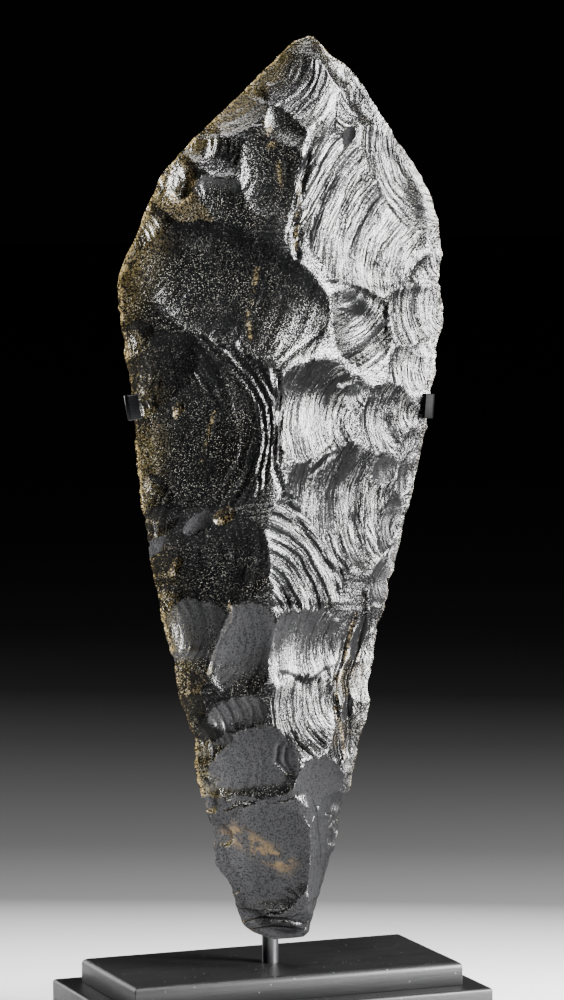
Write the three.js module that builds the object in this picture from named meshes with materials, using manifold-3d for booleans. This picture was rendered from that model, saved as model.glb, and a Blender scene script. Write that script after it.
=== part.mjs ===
// A large knapped obsidian chopper, leaf-shaped, held upright by two bent clips on a rod and a stepped base.
// Millimetres, +Z up. The origin is the centre of the base's underside and the worked face looks along -Y.
import * as THREE from "three";
import { mergeVertices } from "three/addons/utils/BufferGeometryUtils.js";
import Module from "manifold-3d";

const wasm = await Module();
wasm.setup();

// Driving dimensions of the stand
const LOWER_TIER = { length: 152.4, depth: 79, height: 18, round: 1.2 };
const UPPER_TIER = { length: 134.6, depth: 61.6, height: 9.2, round: 2.2 };
const ROUND_STEPS = 4;
const ROD = { x: -2, y: -3.5, radius: 3.175, seat: 10, sides: 24 };
const BORE_GAP = 0.3;
const CLIP = { strip: 9.5, thickness: 1.2, hook: 3, steps: 9, endGap: 1.2 };
const CLIP_GAP = 0.5;
const CLIP_HEIGHT = { left: 205.2, right: 202.6 };
const CLIP_CORNER_STEPS = 4;
const BRAZE_GAP = 0.3;

// Driving dimensions of the chopper, in its own frame: x across the face, z up from the butt
const CHOPPER_HEIGHT = 343;
const FRONT_BULGE = 16;
const BACK_BULGE = 12.5;
const BUTT_ABOVE_BASE = 12.5;
const CREST_SHARPNESS = 1.45;
const LEAST_SHARE = 0.4;
const EDGE_WANDER = { reach: 1.1, wave: 61, turn: 2.1 };
const ROWS = 80;
const HALF_COLUMNS = 13;
const END_CROWDING = 0.35;
const SNAP_SHARE = 0.42;

// The chopper's edges, crest line and share of full bulge, as [z, value] stations from butt to tip
const LEFT_EDGE = [
  [0, -6], [4, -15.5], [8, -20], [20, -23], [31, -30], [46, -32.3], [54, -36], [66, -37.8], [76, -38.4],
  [98, -45.6], [128, -52], [155, -57.8], [172, -60.9], [198, -62.2], [205, -63.3], [212, -64.4], [225, -66.3],
  [240, -68.3], [250, -68.4], [259, -66.2], [283, -55.8], [292, -52], [297, -47.2], [315, -27], [334, -6],
  [341, 1.5], [343, 7],
];
const RIGHT_EDGE = [
  [0, 6.5], [2, 8.8], [15, 12.7], [28, 16], [36, 19.6], [47, 22], [56, 25.6], [68, 28.4], [80, 30.6],
  [88, 33], [96, 33.2], [110, 36.3], [117, 36.9], [123, 39.2], [149, 45], [158, 47.2], [167, 50.8], [180, 54.2],
  [190, 56.3], [197, 57.3], [203, 57.6], [209, 58.4], [215, 60], [226, 61.8], [237, 64.2], [251, 62.8],
  [259, 63.4], [270, 61.6], [283, 58.6], [293, 53.3], [304, 44.8], [317, 36.3], [331, 24.8], [335.8, 17],
  [338, 14.6], [343, 10],
];
const CREST = [
  [0, 1], [25, 5], [60, 1], [95, -8], [130, -12], [165, -13], [200, -11], [235, -8], [265, -3], [295, 1],
  [320, 8], [343, 8.5],
];
const BULGE_SHARE = [
  [0, 0], [5, 0.42], [12, 0.52], [60, 0.64], [110, 0.82], [170, 1], [235, 1], [290, 0.82], [318, 0.55],
  [335, 0.27], [343, 0],
];

// One flake scar: a shallow bowl round (x, z), its half length along the way the flake ran and its half width
// across it. travel is that way in degrees, 0 towards +x and 90 towards the tip; depth is at the bowl's middle.
function scar(x, z, halfLength, halfWidth, travel, depth) {
  const angle = THREE.MathUtils.degToRad(travel);
  return { x, z, halfLength, halfWidth, along: [Math.cos(angle), Math.sin(angle)], depth };
}

// Scars of the worked face struck from the right edge, tip to butt
const RIGHT_SCARS = [
  scar(20, 333, 6, 10, 235, 1.6),
  scar(21, 316, 10, 9, 230, 1.9),
  scar(21.5, 305, 3.2, 6.4, 170, 1.9),
  scar(43, 292, 18, 27, 211, 3.2),
  scar(28, 276, 38, 27, 145, 4.2),
  scar(26, 233, 19, 13, 300, 3.4),
  scar(29, 225, 5, 6, 330, 2.6),
  scar(51, 238, 15, 14, 190, 2.8),
  scar(50, 217, 12, 9, 180, 2.2),
  scar(6, 202, 19, 21, 170, 3.8),
  scar(22, 206, 8, 7, 200, 2.2),
  scar(38, 199, 14, 13, 185, 2.6),
  scar(50, 190, 7, 7, 180, 2.1),
  scar(36, 178, 8, 7, 190, 2.4),
  scar(18, 165, 27, 26, 180, 3.8),
  scar(40, 158, 6, 10.5, 165, 2.9),
  scar(38, 136, 6, 10, 165, 2.3),
  scar(5, 112, 21, 18, 180, 3.6),
  scar(26, 98, 9, 14, 175, 2.4),
  scar(4, 92, 15, 19, 180, 2.9),
  scar(24, 78, 8, 11, 170, 2.1),
  scar(11, 61, 13, 10, 180, 2.1),
  scar(14, 44, 5, 4, 190, 1.6),
  scar(13, 30, 10, 22, 180, 2.6),
];

// Scars of the worked face struck from the left edge, tip to butt, and the last two struck up from the butt
const LEFT_SCARS = [
  scar(4, 322, 18, 13, 320, 2.6),
  scar(-20, 318, 9, 15, 315, 1.8),
  scar(-5, 310, 8, 8, 300, 2.1),
  scar(-29, 297, 9, 9, 320, 2.5),
  scar(-12, 291, 14, 15, 350, 2.8),
  scar(-44.5, 288.5, 5, 9, 350, 2.6),
  scar(-30, 284, 11, 9, 0, 1.8),
  scar(-43, 281, 12, 6, 340, 1.5),
  scar(-27, 250, 43, 21, 335, 4.8),
  scar(-52, 217, 16, 17, 0, 2.7),
  scar(-34, 199, 24.5, 32, 0, 3.3),
  scar(-38, 196, 22, 28, 0, 4.0),
  scar(-46.5, 205, 2.5, 4, 350, 3.4),
  scar(-33, 164, 3.6, 3.2, 40, 1.6),
  scar(-39, 160, 6.5, 6, 40, 2.6),
  scar(-52, 156, 6, 6, 30, 1.8),
  scar(-36, 148, 24, 19, 355, 3.4),
  scar(-46, 146, 2.6, 5, 330, 2.8),
  scar(2, 150, 18, 25, 0, 2.8),
  scar(-42, 119, 15, 16, 0, 2.9),
  scar(-22, 113, 13, 18, 350, 2.8),
  scar(-42, 100, 6, 7, 0, 1.5),
  scar(-39, 91, 5, 6, 0, 1.4),
  scar(-23, 88, 11, 8, 20, 2.1),
  scar(-32, 77, 9, 5, 15, 1.6),
  scar(-16, 69, 17, 16, 10, 2.8),
  scar(-34.5, 57, 4, 7, 30, 1.4),
  scar(-27, 32, 5, 5, 30, 1.2),
  scar(-11, 33, 22, 18, 92, 2.5),
  scar(-6, 2, 6, 15, 90, 3.2),
];

// The hidden face is plainer: broad flakes struck in turn from both edges at an even pitch
const BACK_FLAKES = { first: 24, pitch: 41, count: 8, reach: 0.64, halfWidth: 25, depth: 3, sway: 9 };

// A smooth curve through [z, value] stations that never overshoots them
function smoothThrough(stations, z) {
  const last = stations.length - 2;
  let i = 0;
  while (i < last && z > stations[i + 1][0]) i += 1;
  const secant = (k) => (stations[k + 1][1] - stations[k][1]) / (stations[k + 1][0] - stations[k][0]);
  const slopeAt = (k) => {
    if (k === 0) return secant(0);
    if (k === stations.length - 1) return secant(k - 1);
    const before = secant(k - 1);
    const after = secant(k);
    return before * after <= 0 ? 0 : (2 * before * after) / (before + after);
  };
  const [z0, v0] = stations[i];
  const [z1, v1] = stations[i + 1];
  const span = z1 - z0;
  const t = THREE.MathUtils.clamp((z - z0) / span, 0, 1);
  const rise = t * t * (3 - 2 * t);
  const start = t * (1 - t) * (1 - t) * span * slopeAt(i);
  const end = t * t * (t - 1) * span * slopeAt(i + 1);
  return v0 + (v1 - v0) * rise + start + end;
}

// How far a point lies from the crest, from -1 at the left edge to 1 at the right edge
function shareAcross(x, z) {
  const crest = smoothThrough(CREST, z);
  const edge = smoothThrough(x < crest ? LEFT_EDGE : RIGHT_EDGE, z);
  return THREE.MathUtils.clamp((x - crest) / Math.abs(edge - crest), -1, 1);
}

function scarSurface(s, x, z) {
  const dx = x - s.x;
  const dz = z - s.z;
  const u = (dx * s.along[0] + dz * s.along[1]) / s.halfLength;
  const v = (dz * s.along[0] - dx * s.along[1]) / s.halfWidth;
  return -s.depth * (1 - u * u - v * v);
}

// The uncarved lens of one face, above the plane of the edges
function lens(face, x, z) {
  const fall = Math.abs(shareAcross(x, z)) ** CREST_SHARPNESS;
  return face.bulge * smoothThrough(BULGE_SHARE, z) * (1 - fall);
}

// The face after its flakes: the deepest bowl wins, and the cut fades out where the lens thins to an edge
function carved(face, x, z) {
  const full = lens(face, x, z);
  if (full <= 0) return 0;
  const cut = face.scars.reduce((deepest, s) => Math.min(deepest, scarSurface(s, x, z)), 0);
  const free = (1 - LEAST_SHARE) * full;
  return full - free + free * Math.exp(cut / free);
}

// The sharp edge snakes a little to front and back, as flaking from both faces leaves it
function edgeWander(x, z) {
  const across = shareAcross(x, z);
  const phase = (2 * Math.PI * z) / EDGE_WANDER.wave + (across > 0 ? EDGE_WANDER.turn : 0);
  return EDGE_WANDER.reach * Math.sin(phase) * Math.abs(across) ** 3;
}

function backScars() {
  const flakes = [];
  for (let i = 0; i < BACK_FLAKES.count; i += 1) {
    for (const side of [-1, 1]) {
      const z = BACK_FLAKES.first + BACK_FLAKES.pitch * (i + (side > 0 ? 0.45 : 0));
      const sway = Math.sin(2.3 * i + side);
      const crest = smoothThrough(CREST, z);
      const room = Math.abs(smoothThrough(side < 0 ? LEFT_EDGE : RIGHT_EDGE, z) - crest);
      const x = crest + side * room * (0.5 + 0.06 * sway);
      const travel = (side < 0 ? 0 : 180) + BACK_FLAKES.sway * sway;
      const depth = BACK_FLAKES.depth * smoothThrough(BULGE_SHARE, z);
      flakes.push(scar(x, z, BACK_FLAKES.reach * room, BACK_FLAKES.halfWidth, travel, depth));
    }
  }
  return flakes;
}

const FRONT = { bulge: FRONT_BULGE, scars: [...RIGHT_SCARS, ...LEFT_SCARS] };
const BACK = { bulge: BACK_BULGE, scars: backScars() };

// Moves a grid point onto the ridge between its two deepest scars where that ridge passes close by
function snappedToRidge(face, x, z, spacing) {
  const [first, second] = [...face.scars].sort((a, b) => scarSurface(a, x, z) - scarSurface(b, x, z));
  const gap = (px, pz) => Math.min(0, scarSurface(second, px, pz)) - Math.min(0, scarSurface(first, px, pz));
  const step = 0.05;
  const here = gap(x, z);
  const slope = [(gap(x + step, z) - here) / step, (gap(x, z + step) - here) / step];
  const steepness = Math.hypot(...slope);
  const distance = steepness > 0 ? here / steepness : Infinity;
  if (distance > SNAP_SHARE * spacing) return [x, z];
  return [x - (distance * slope[0]) / steepness, z - (distance * slope[1]) / steepness];
}

function rowHeight(row) {
  const even = row / ROWS;
  const crowded = 0.5 - 0.5 * Math.cos(Math.PI * even);
  return CHOPPER_HEIGHT * (even + END_CROWDING * (crowded - even));
}

function gridPoint(face, row, column) {
  const z = rowHeight(row);
  const crest = smoothThrough(CREST, z);
  const share = (column - HALF_COLUMNS) / HALF_COLUMNS;
  const reach = Math.abs(smoothThrough(share < 0 ? LEFT_EDGE : RIGHT_EDGE, z) - crest);
  const x = crest + share * reach;
  if (row < 2 || row > ROWS - 2 || Math.abs(share) > 1 - 1.5 / HALF_COLUMNS) return [x, z];
  return snappedToRidge(face, x, z, Math.min(reach / HALF_COLUMNS, CHOPPER_HEIGHT / ROWS));
}

// The chopper as one closed body: a grid of rows and columns on each face, sharing the points of the rim
function chopperGeometry() {
  const columns = 2 * HALF_COLUMNS;
  const positions = [];
  const triangles = [];
  const onRim = (row, column) => row === 0 || row === ROWS || column === 0 || column === columns;
  const addPoint = (face, side, row, column) => {
    const [x, z] = gridPoint(face, row, column);
    const height = onRim(row, column) ? 0 : carved(face, x, z);
    positions.push(x, edgeWander(x, z) + side * height, z);
    return positions.length / 3 - 1;
  };
  const frontIndex = [];
  const backIndex = [];
  for (let row = 0; row <= ROWS; row += 1) {
    frontIndex.push([]);
    backIndex.push([]);
    for (let column = 0; column <= columns; column += 1) {
      const front = addPoint(FRONT, -1, row, column);
      frontIndex[row].push(front);
      backIndex[row].push(onRim(row, column) ? front : addPoint(BACK, 1, row, column));
    }
  }
  const heightOf = (index) => positions[3 * index + 1];
  const addQuad = (grid, row, column, flipped) => {
    const [low, high] = [grid[row], grid[row + 1]];
    const corners = [low[column], low[column + 1], high[column + 1], high[column]];
    const [a, b, c, d] = flipped ? [...corners].reverse() : corners;
    if (Math.abs(heightOf(a) - heightOf(c)) < Math.abs(heightOf(b) - heightOf(d))) {
      triangles.push(a, b, c, a, c, d);
    } else {
      triangles.push(a, b, d, b, c, d);
    }
  };
  for (let row = 0; row < ROWS; row += 1) {
    for (let column = 0; column < columns; column += 1) {
      addQuad(frontIndex, row, column, false);
      addQuad(backIndex, row, column, true);
    }
  }
  return geometryFrom(positions, triangles);
}

function geometryFrom(positions, triangles) {
  const geometry = new THREE.BufferGeometry();
  geometry.setAttribute("position", new THREE.Float32BufferAttribute(positions, 3));
  geometry.setIndex(triangles);
  geometry.computeVertexNormals();
  return geometry;
}

// A mitred block: rectangles stacked from the underside up, the top edge rounded over
function tierGeometry({ length, depth, height, round }) {
  const levels = [[0, 0]];
  for (let i = 0; i <= ROUND_STEPS; i += 1) {
    const angle = (i / ROUND_STEPS) * (Math.PI / 2);
    levels.push([round * (1 - Math.cos(angle)), height - round * (1 - Math.sin(angle))]);
  }
  const positions = [];
  const triangles = [];
  for (const [inset, z] of levels) {
    const x = length / 2 - inset;
    const y = depth / 2 - inset;
    positions.push(-x, -y, z, x, -y, z, x, y, z, -x, y, z);
  }
  for (let level = 0; level < levels.length - 1; level += 1) {
    for (let corner = 0; corner < 4; corner += 1) {
      const a = 4 * level + corner;
      const b = 4 * level + ((corner + 1) % 4);
      triangles.push(a, b, b + 4, a, b + 4, a + 4);
    }
  }
  const top = 4 * (levels.length - 1);
  triangles.push(0, 2, 1, 0, 3, 2, top, top + 1, top + 2, top, top + 2, top + 3);
  return geometryFrom(positions, triangles);
}

function solidOf(geometry) {
  const bare = geometry.clone();
  bare.deleteAttribute("normal");
  bare.deleteAttribute("uv");
  const merged = mergeVertices(bare, 1e-4);
  return new wasm.Manifold(
    new wasm.Mesh({
      numProp: 3,
      vertProperties: merged.attributes.position.array,
      triVerts: new Uint32Array(merged.index.array),
    }),
  );
}

function bored(geometry, bore) {
  const mesh = solidOf(geometry).subtract(solidOf(bore)).getMesh();
  return geometryFrom(Array.from(mesh.vertProperties), Array.from(mesh.triVerts));
}

// An upright cylinder between two heights
function post(x, y, radius, low, high) {
  const geometry = new THREE.CylinderGeometry(radius, radius, high - low, ROD.sides);
  return geometry.rotateX(Math.PI / 2).translate(x, y, (low + high) / 2);
}

// Where each clip grips, and how far its strip leans so that it lies square to the edge there
function clipGrip(side) {
  const edge = side < 0 ? LEFT_EDGE : RIGHT_EDGE;
  const z = side < 0 ? CLIP_HEIGHT.left : CLIP_HEIGHT.right;
  const half = CLIP.strip / 2;
  const low = smoothThrough(edge, z - half);
  const high = smoothThrough(edge, z + half);
  const x = smoothThrough(edge, z);
  return { x, z, lean: Math.atan2(high - low, CLIP.strip) };
}

// The strip's middle line seen along its width, as [distance in from the edge, depth] from the rod to the hook.
// It follows the chopper's back, turns round its edge and hooks over the worked face.
function clipLine(side, grip, length) {
  const off = CLIP_GAP + CLIP.thickness / 2;
  const inward = -side * Math.cos(grip.lean);
  const rise = side * Math.sin(grip.lean);
  const placeAt = (d) => [grip.x + inward * d, grip.z + rise * d];
  const faceAt = (face, side, d) => edgeWander(...placeAt(d)) + side * (lens(face, ...placeAt(d)) + off);
  const line = [];
  for (let i = 0; i <= CLIP.steps; i += 1) {
    const d = length * (1 - i / CLIP.steps);
    line.push([d, faceAt(BACK, 1, d)]);
  }
  for (let i = 1; i <= CLIP_CORNER_STEPS; i += 1) {
    const angle = (i / CLIP_CORNER_STEPS) * Math.PI;
    line.push([-off * Math.sin(angle), edgeWander(...placeAt(0)) + off * Math.cos(angle)]);
  }
  line.push([CLIP.hook, faceAt(FRONT, -1, CLIP.hook)]);
  return line.map(([d, y]) => new THREE.Vector2(d, y));
}

// A strip of even thickness along a bent line
function ribbonShape(line, thickness) {
  const normals = line.map((point, i) => {
    const before = line[Math.max(i - 1, 0)];
    const after = line[Math.min(i + 1, line.length - 1)];
    const way = after.clone().sub(before).normalize();
    return new THREE.Vector2(-way.y, way.x).multiplyScalar(thickness / 2);
  });
  const one = line.map((point, i) => point.clone().add(normals[i]));
  const other = line.map((point, i) => point.clone().sub(normals[i])).reverse();
  return new THREE.Shape([...one, ...other]);
}

function clipMesh(name, side, material) {
  const grip = clipGrip(side);
  const rodInChopper = ROD.x - CHOPPER_PLACE.x;
  const length = (Math.abs(rodInChopper - grip.x) - CLIP.endGap) / Math.cos(grip.lean);
  const shape = ribbonShape(clipLine(side, grip, length), CLIP.thickness);
  const geometry = new THREE.ExtrudeGeometry(shape, { depth: CLIP.strip, bevelEnabled: false });
  geometry.translate(0, 0, -CLIP.strip / 2);
  if (side > 0) geometry.rotateZ(Math.PI).scale(1, -1, 1);
  const mesh = new THREE.Mesh(side > 0 ? facingOut(geometry) : geometry, material);
  mesh.name = name;
  mesh.position.set(grip.x, 0, grip.z);
  mesh.rotation.y = grip.lean;
  return mesh;
}

// Turns a mirrored geometry's faces outwards again
function facingOut(geometry) {
  const position = geometry.getAttribute("position");
  const triangles = [];
  for (let i = 0; i < position.count; i += 3) triangles.push(i, i + 2, i + 1);
  return geometryFrom(Array.from(position.array), triangles);
}

function namedMesh(name, geometry, material, z = 0) {
  const mesh = new THREE.Mesh(geometry, material);
  mesh.name = name;
  mesh.position.z = z;
  return mesh;
}

const OBSIDIAN = new THREE.MeshStandardMaterial({ color: 0x1c1b19, roughness: 0.3, metalness: 0 });
const BLACK_WOOD = new THREE.MeshStandardMaterial({ color: 0x151515, roughness: 0.5, metalness: 0 });
const BLACK_STEEL = new THREE.MeshStandardMaterial({ color: 0x1a1a1b, roughness: 0.4, metalness: 0.6 });

const BASE_TOP = LOWER_TIER.height + UPPER_TIER.height;
const CHOPPER_PLACE = new THREE.Vector3(
  -1.3,
  ROD.y - ROD.radius - BRAZE_GAP - CLIP.thickness - CLIP_GAP - BACK_BULGE,
  BASE_TOP + BUTT_ABOVE_BASE,
);

function stand() {
  const group = new THREE.Group();
  const seatLow = LOWER_TIER.height - ROD.seat;
  const rodTop = CHOPPER_PLACE.z + CLIP_HEIGHT.left + 2 * CLIP.strip;
  const bore = post(ROD.x, ROD.y, ROD.radius + BORE_GAP, seatLow, LOWER_TIER.height + BASE_TOP);
  const boreAbove = bore.clone().translate(0, 0, -LOWER_TIER.height);
  const lower = bored(tierGeometry(LOWER_TIER), bore);
  const upper = bored(tierGeometry(UPPER_TIER), boreAbove);
  const rod = post(ROD.x, ROD.y, ROD.radius, seatLow + BORE_GAP, rodTop);
  group.add(namedMesh("base_lower_tier", lower, BLACK_WOOD));
  group.add(namedMesh("base_upper_tier", upper, BLACK_WOOD, LOWER_TIER.height));
  group.add(namedMesh("support_rod", rod, BLACK_STEEL));
  return group;
}

function chopperInClips() {
  const group = new THREE.Group();
  group.position.copy(CHOPPER_PLACE);
  group.add(namedMesh("obsidian_chopper", chopperGeometry(), OBSIDIAN));
  group.add(clipMesh("left_clip", -1, BLACK_STEEL));
  group.add(clipMesh("right_clip", 1, BLACK_STEEL));
  return group;
}

const chopperOnStand = new THREE.Group();
chopperOnStand.add(stand(), chopperInClips());

export default chopperOnStand;
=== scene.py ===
"""The obsidian chopper on its display stand, dressed for close viewing.

Metres in Blender, millimetres in the sizes below. The origin is the centre of the base's underside, +Z is up
and the worked face looks along -Y.
"""
import logging
import math
from dataclasses import dataclass, field
from enum import Enum
from typing import Iterable, Optional, Sequence, Union

import bmesh
import bpy
import numpy as np
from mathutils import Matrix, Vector


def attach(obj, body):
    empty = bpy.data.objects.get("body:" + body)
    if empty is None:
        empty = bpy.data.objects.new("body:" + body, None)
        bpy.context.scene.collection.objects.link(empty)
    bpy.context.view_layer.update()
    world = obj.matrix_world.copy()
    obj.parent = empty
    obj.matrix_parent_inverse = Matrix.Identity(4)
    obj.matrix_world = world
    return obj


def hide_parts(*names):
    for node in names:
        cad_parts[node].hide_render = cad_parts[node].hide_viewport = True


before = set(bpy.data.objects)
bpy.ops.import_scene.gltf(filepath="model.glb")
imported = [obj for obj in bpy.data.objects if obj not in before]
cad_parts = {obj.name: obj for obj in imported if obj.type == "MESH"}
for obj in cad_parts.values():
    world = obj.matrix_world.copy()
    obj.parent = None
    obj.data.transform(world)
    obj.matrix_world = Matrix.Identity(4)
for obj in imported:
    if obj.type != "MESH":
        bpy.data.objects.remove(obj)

LOG = logging.getLogger("obsidian_chopper")
MM = 0.001
Colour = tuple[float, float, float]
Place = tuple[float, float, float]
Stations = Sequence[tuple[float, float]]


class Edge(Enum):
    """The two long edges of the chopper."""

    LEFT = -1
    RIGHT = 1

    @property
    def inward(self) -> float:
        """The way in from this edge, in degrees."""
        return 0.0 if self is Edge.LEFT else 180.0


class Side(Enum):
    """The two faces of the chopper: the sign is the way each bulges along Y."""

    WORKED = -1
    HIDDEN = 1


# Shader maths


class NodeShop:
    """One material's node tree, with one way to add any node to it."""

    def __init__(self, name: str) -> None:
        """Makes an empty material.

        Args:
            name: the material's name.
        """
        self.material = bpy.data.materials.new(name)
        self.material.use_nodes = True
        self.tree = self.material.node_tree
        self.tree.nodes.clear()

    def add(self, kind: str, settings: Optional[dict] = None,
            sockets: Optional[dict] = None) -> bpy.types.Node:
        """Adds a node, sets its options first and then its sockets.

        Args:
            kind: the node's type name.
            settings: attributes of the node; "stops" fills a colour ramp.
            sockets: input name or index to a value or a Signal.

        Returns:
            The new node.
        """
        node = self.tree.nodes.new(kind)
        for key, value in (settings or {}).items():
            if key == "stops":
                self._fill_ramp(node, value)
            else:
                setattr(node, key, value)
        for key, value in (sockets or {}).items():
            if isinstance(value, Signal):
                self.tree.links.new(value.socket, node.inputs[key])
            else:
                node.inputs[key].default_value = value
        return node

    def signal(self, kind: str, output: Union[str, int], settings: Optional[dict] = None,
               sockets: Optional[dict] = None) -> "Signal":
        """Adds a node and wraps one of its outputs.

        Args:
            kind: the node's type name.
            output: the output's name or index.
            settings: attributes of the node.
            sockets: input name or index to a value or a Signal.

        Returns:
            The wrapped output.
        """
        return Signal(self, self.add(kind, settings, sockets).outputs[output])

    @staticmethod
    def _fill_ramp(node: bpy.types.Node, stops: Sequence[tuple[float, Colour]]) -> None:
        """Fills a colour ramp.

        Args:
            node: the ramp node.
            stops: position and colour of each stop, in order.
        """
        elements = node.color_ramp.elements
        while len(elements) < len(stops):
            elements.new(1.0)
        for element, (position, colour) in zip(elements, stops):
            element.position = position
            element.color = (*colour, 1.0)

    def mix(self, share: "Signal", low: Union["Signal", Colour], high: Union["Signal", Colour]) -> "Signal":
        """Mixes two colours.

        Args:
            share: 0 gives the first colour and 1 the second.
            low: first colour.
            high: second colour.

        Returns:
            The mixed colour.
        """
        wanted = {0: share}
        for index, colour in ((6, low), (7, high)):
            wanted[index] = colour if isinstance(colour, Signal) else (*colour, 1.0)
        return self.signal("ShaderNodeMix", 2, {"data_type": "RGBA"}, wanted)

    def noise(self, place: "Signal", scale: float, detail: float = 3.0, rough: float = 0.55) -> "Signal":
        """Gives a noise value from 0 to 1 at a place."""
        return self.signal("ShaderNodeTexNoise", 0, {"noise_dimensions": "3D"},
                           {"Vector": place, "Scale": scale, "Detail": detail, "Roughness": rough})

    def stretched(self, place: "Signal", scale: tuple[float, float, float]) -> "Signal":
        """Gives a place with each axis scaled."""
        return self.signal("ShaderNodeMapping", 0, None, {"Vector": place, "Scale": scale})

    def attribute(self, name: str) -> "Signal":
        """Gives the value of one of the piece's own attributes."""
        return self.signal("ShaderNodeAttribute", "Fac", {"attribute_name": name})

    def object_place(self) -> "Signal":
        """Gives the Object coordinates."""
        return self.signal("ShaderNodeTexCoord", "Object")

    def bump(self, height: "Signal", strength: float, distance: float) -> "Signal":
        """Gives a normal bent by a height; distance is in metres."""
        return self.signal("ShaderNodeBump", 0, None,
                           {"Strength": strength, "Distance": distance, "Height": height})

    def dots(self, place: "Signal", scale: float, radius: float) -> tuple["Signal", "Signal"]:
        """Scatters one dot in each cell of a random pattern.

        Args:
            place: where to read the pattern.
            scale: cells for each metre.
            radius: the dots' radius as a share of a cell.

        Returns:
            1 inside the dots, and a random value for each cell.
        """
        cells = self.add("ShaderNodeTexVoronoi", {"feature": "F1"},
                         {"Vector": place, "Scale": scale, "Randomness": 1.0})
        lot = self.signal("ShaderNodeSeparateColor", 0, None, {0: Signal(self, cells.outputs["Color"])})
        return Signal(self, cells.outputs["Distance"]).below(radius), lot

    def principled(self, base: "Signal", roughness: "Signal", normal: "Signal", constants: dict) -> "Signal":
        """Adds a Principled shader.

        Args:
            base: base colour.
            roughness: roughness value.
            normal: bent normal.
            constants: sockets that are the same all over.

        Returns:
            The shader.
        """
        return self.signal("ShaderNodeBsdfPrincipled", 0, None,
                           {"Base Color": base, "Roughness": roughness, "Normal": normal, **constants})

    def close(self, shader: "Signal") -> bpy.types.Material:
        """Links the shader to the material's output."""
        self.add("ShaderNodeOutputMaterial", None, {0: shader})
        return self.material


class Signal:
    """A shader socket that takes part in Python expressions."""

    def __init__(self, shop: NodeShop, socket: bpy.types.NodeSocket) -> None:
        """Wraps a socket of a shop's tree."""
        self.shop = shop
        self.socket = socket

    def _maths(self, operation: str, *operands: Union["Signal", float], clamp: bool = False) -> "Signal":
        """Adds a Math node.

        Args:
            operation: the Math node's operation.
            operands: values in order.
            clamp: keeps the result between 0 and 1.

        Returns:
            The result.
        """
        return self.shop.signal("ShaderNodeMath", 0, {"operation": operation, "use_clamp": clamp},
                                dict(enumerate(operands)))

    def __add__(self, other: Union["Signal", float]) -> "Signal":
        """Sum."""
        return self._maths("ADD", self, other)

    def __radd__(self, other: float) -> "Signal":
        """Sum, the number first."""
        return self._maths("ADD", other, self)

    def __sub__(self, other: Union["Signal", float]) -> "Signal":
        """Difference."""
        return self._maths("SUBTRACT", self, other)

    def __rsub__(self, other: float) -> "Signal":
        """Difference, the number first."""
        return self._maths("SUBTRACT", other, self)

    def __mul__(self, other: Union["Signal", float]) -> "Signal":
        """Product."""
        return self._maths("MULTIPLY", self, other)

    def __rmul__(self, other: float) -> "Signal":
        """Product, the number first."""
        return self._maths("MULTIPLY", other, self)

    def __pow__(self, power: float) -> "Signal":
        """Power."""
        return self._maths("POWER", self, power)

    def sine(self) -> "Signal":
        """Sine of the value in radians."""
        return self._maths("SINE", self)

    def above(self, limit: float) -> "Signal":
        """1 where the value is above the limit, else 0."""
        return self._maths("GREATER_THAN", self, limit)

    def below(self, limit: float) -> "Signal":
        """1 where the value is below the limit, else 0."""
        return self._maths("LESS_THAN", self, limit)

    def clamped(self) -> "Signal":
        """The value kept between 0 and 1."""
        return self._maths("ADD", self, 0.0, clamp=True)

    def magnitude(self) -> "Signal":
        """The value without its sign."""
        return self._maths("ABSOLUTE", self)

    def step(self, low: float, high: float) -> "Signal":
        """A smooth rise from 0 at low to 1 at high."""
        return self.shop.signal("ShaderNodeMapRange", 0, {"interpolation_type": "SMOOTHSTEP"},
                                {"Value": self, "From Min": low, "From Max": high})

    def axis(self, index: int) -> "Signal":
        """One coordinate of a vector."""
        return self.shop.signal("ShaderNodeSeparateXYZ", index, None, {0: self})


# Finishes


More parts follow.
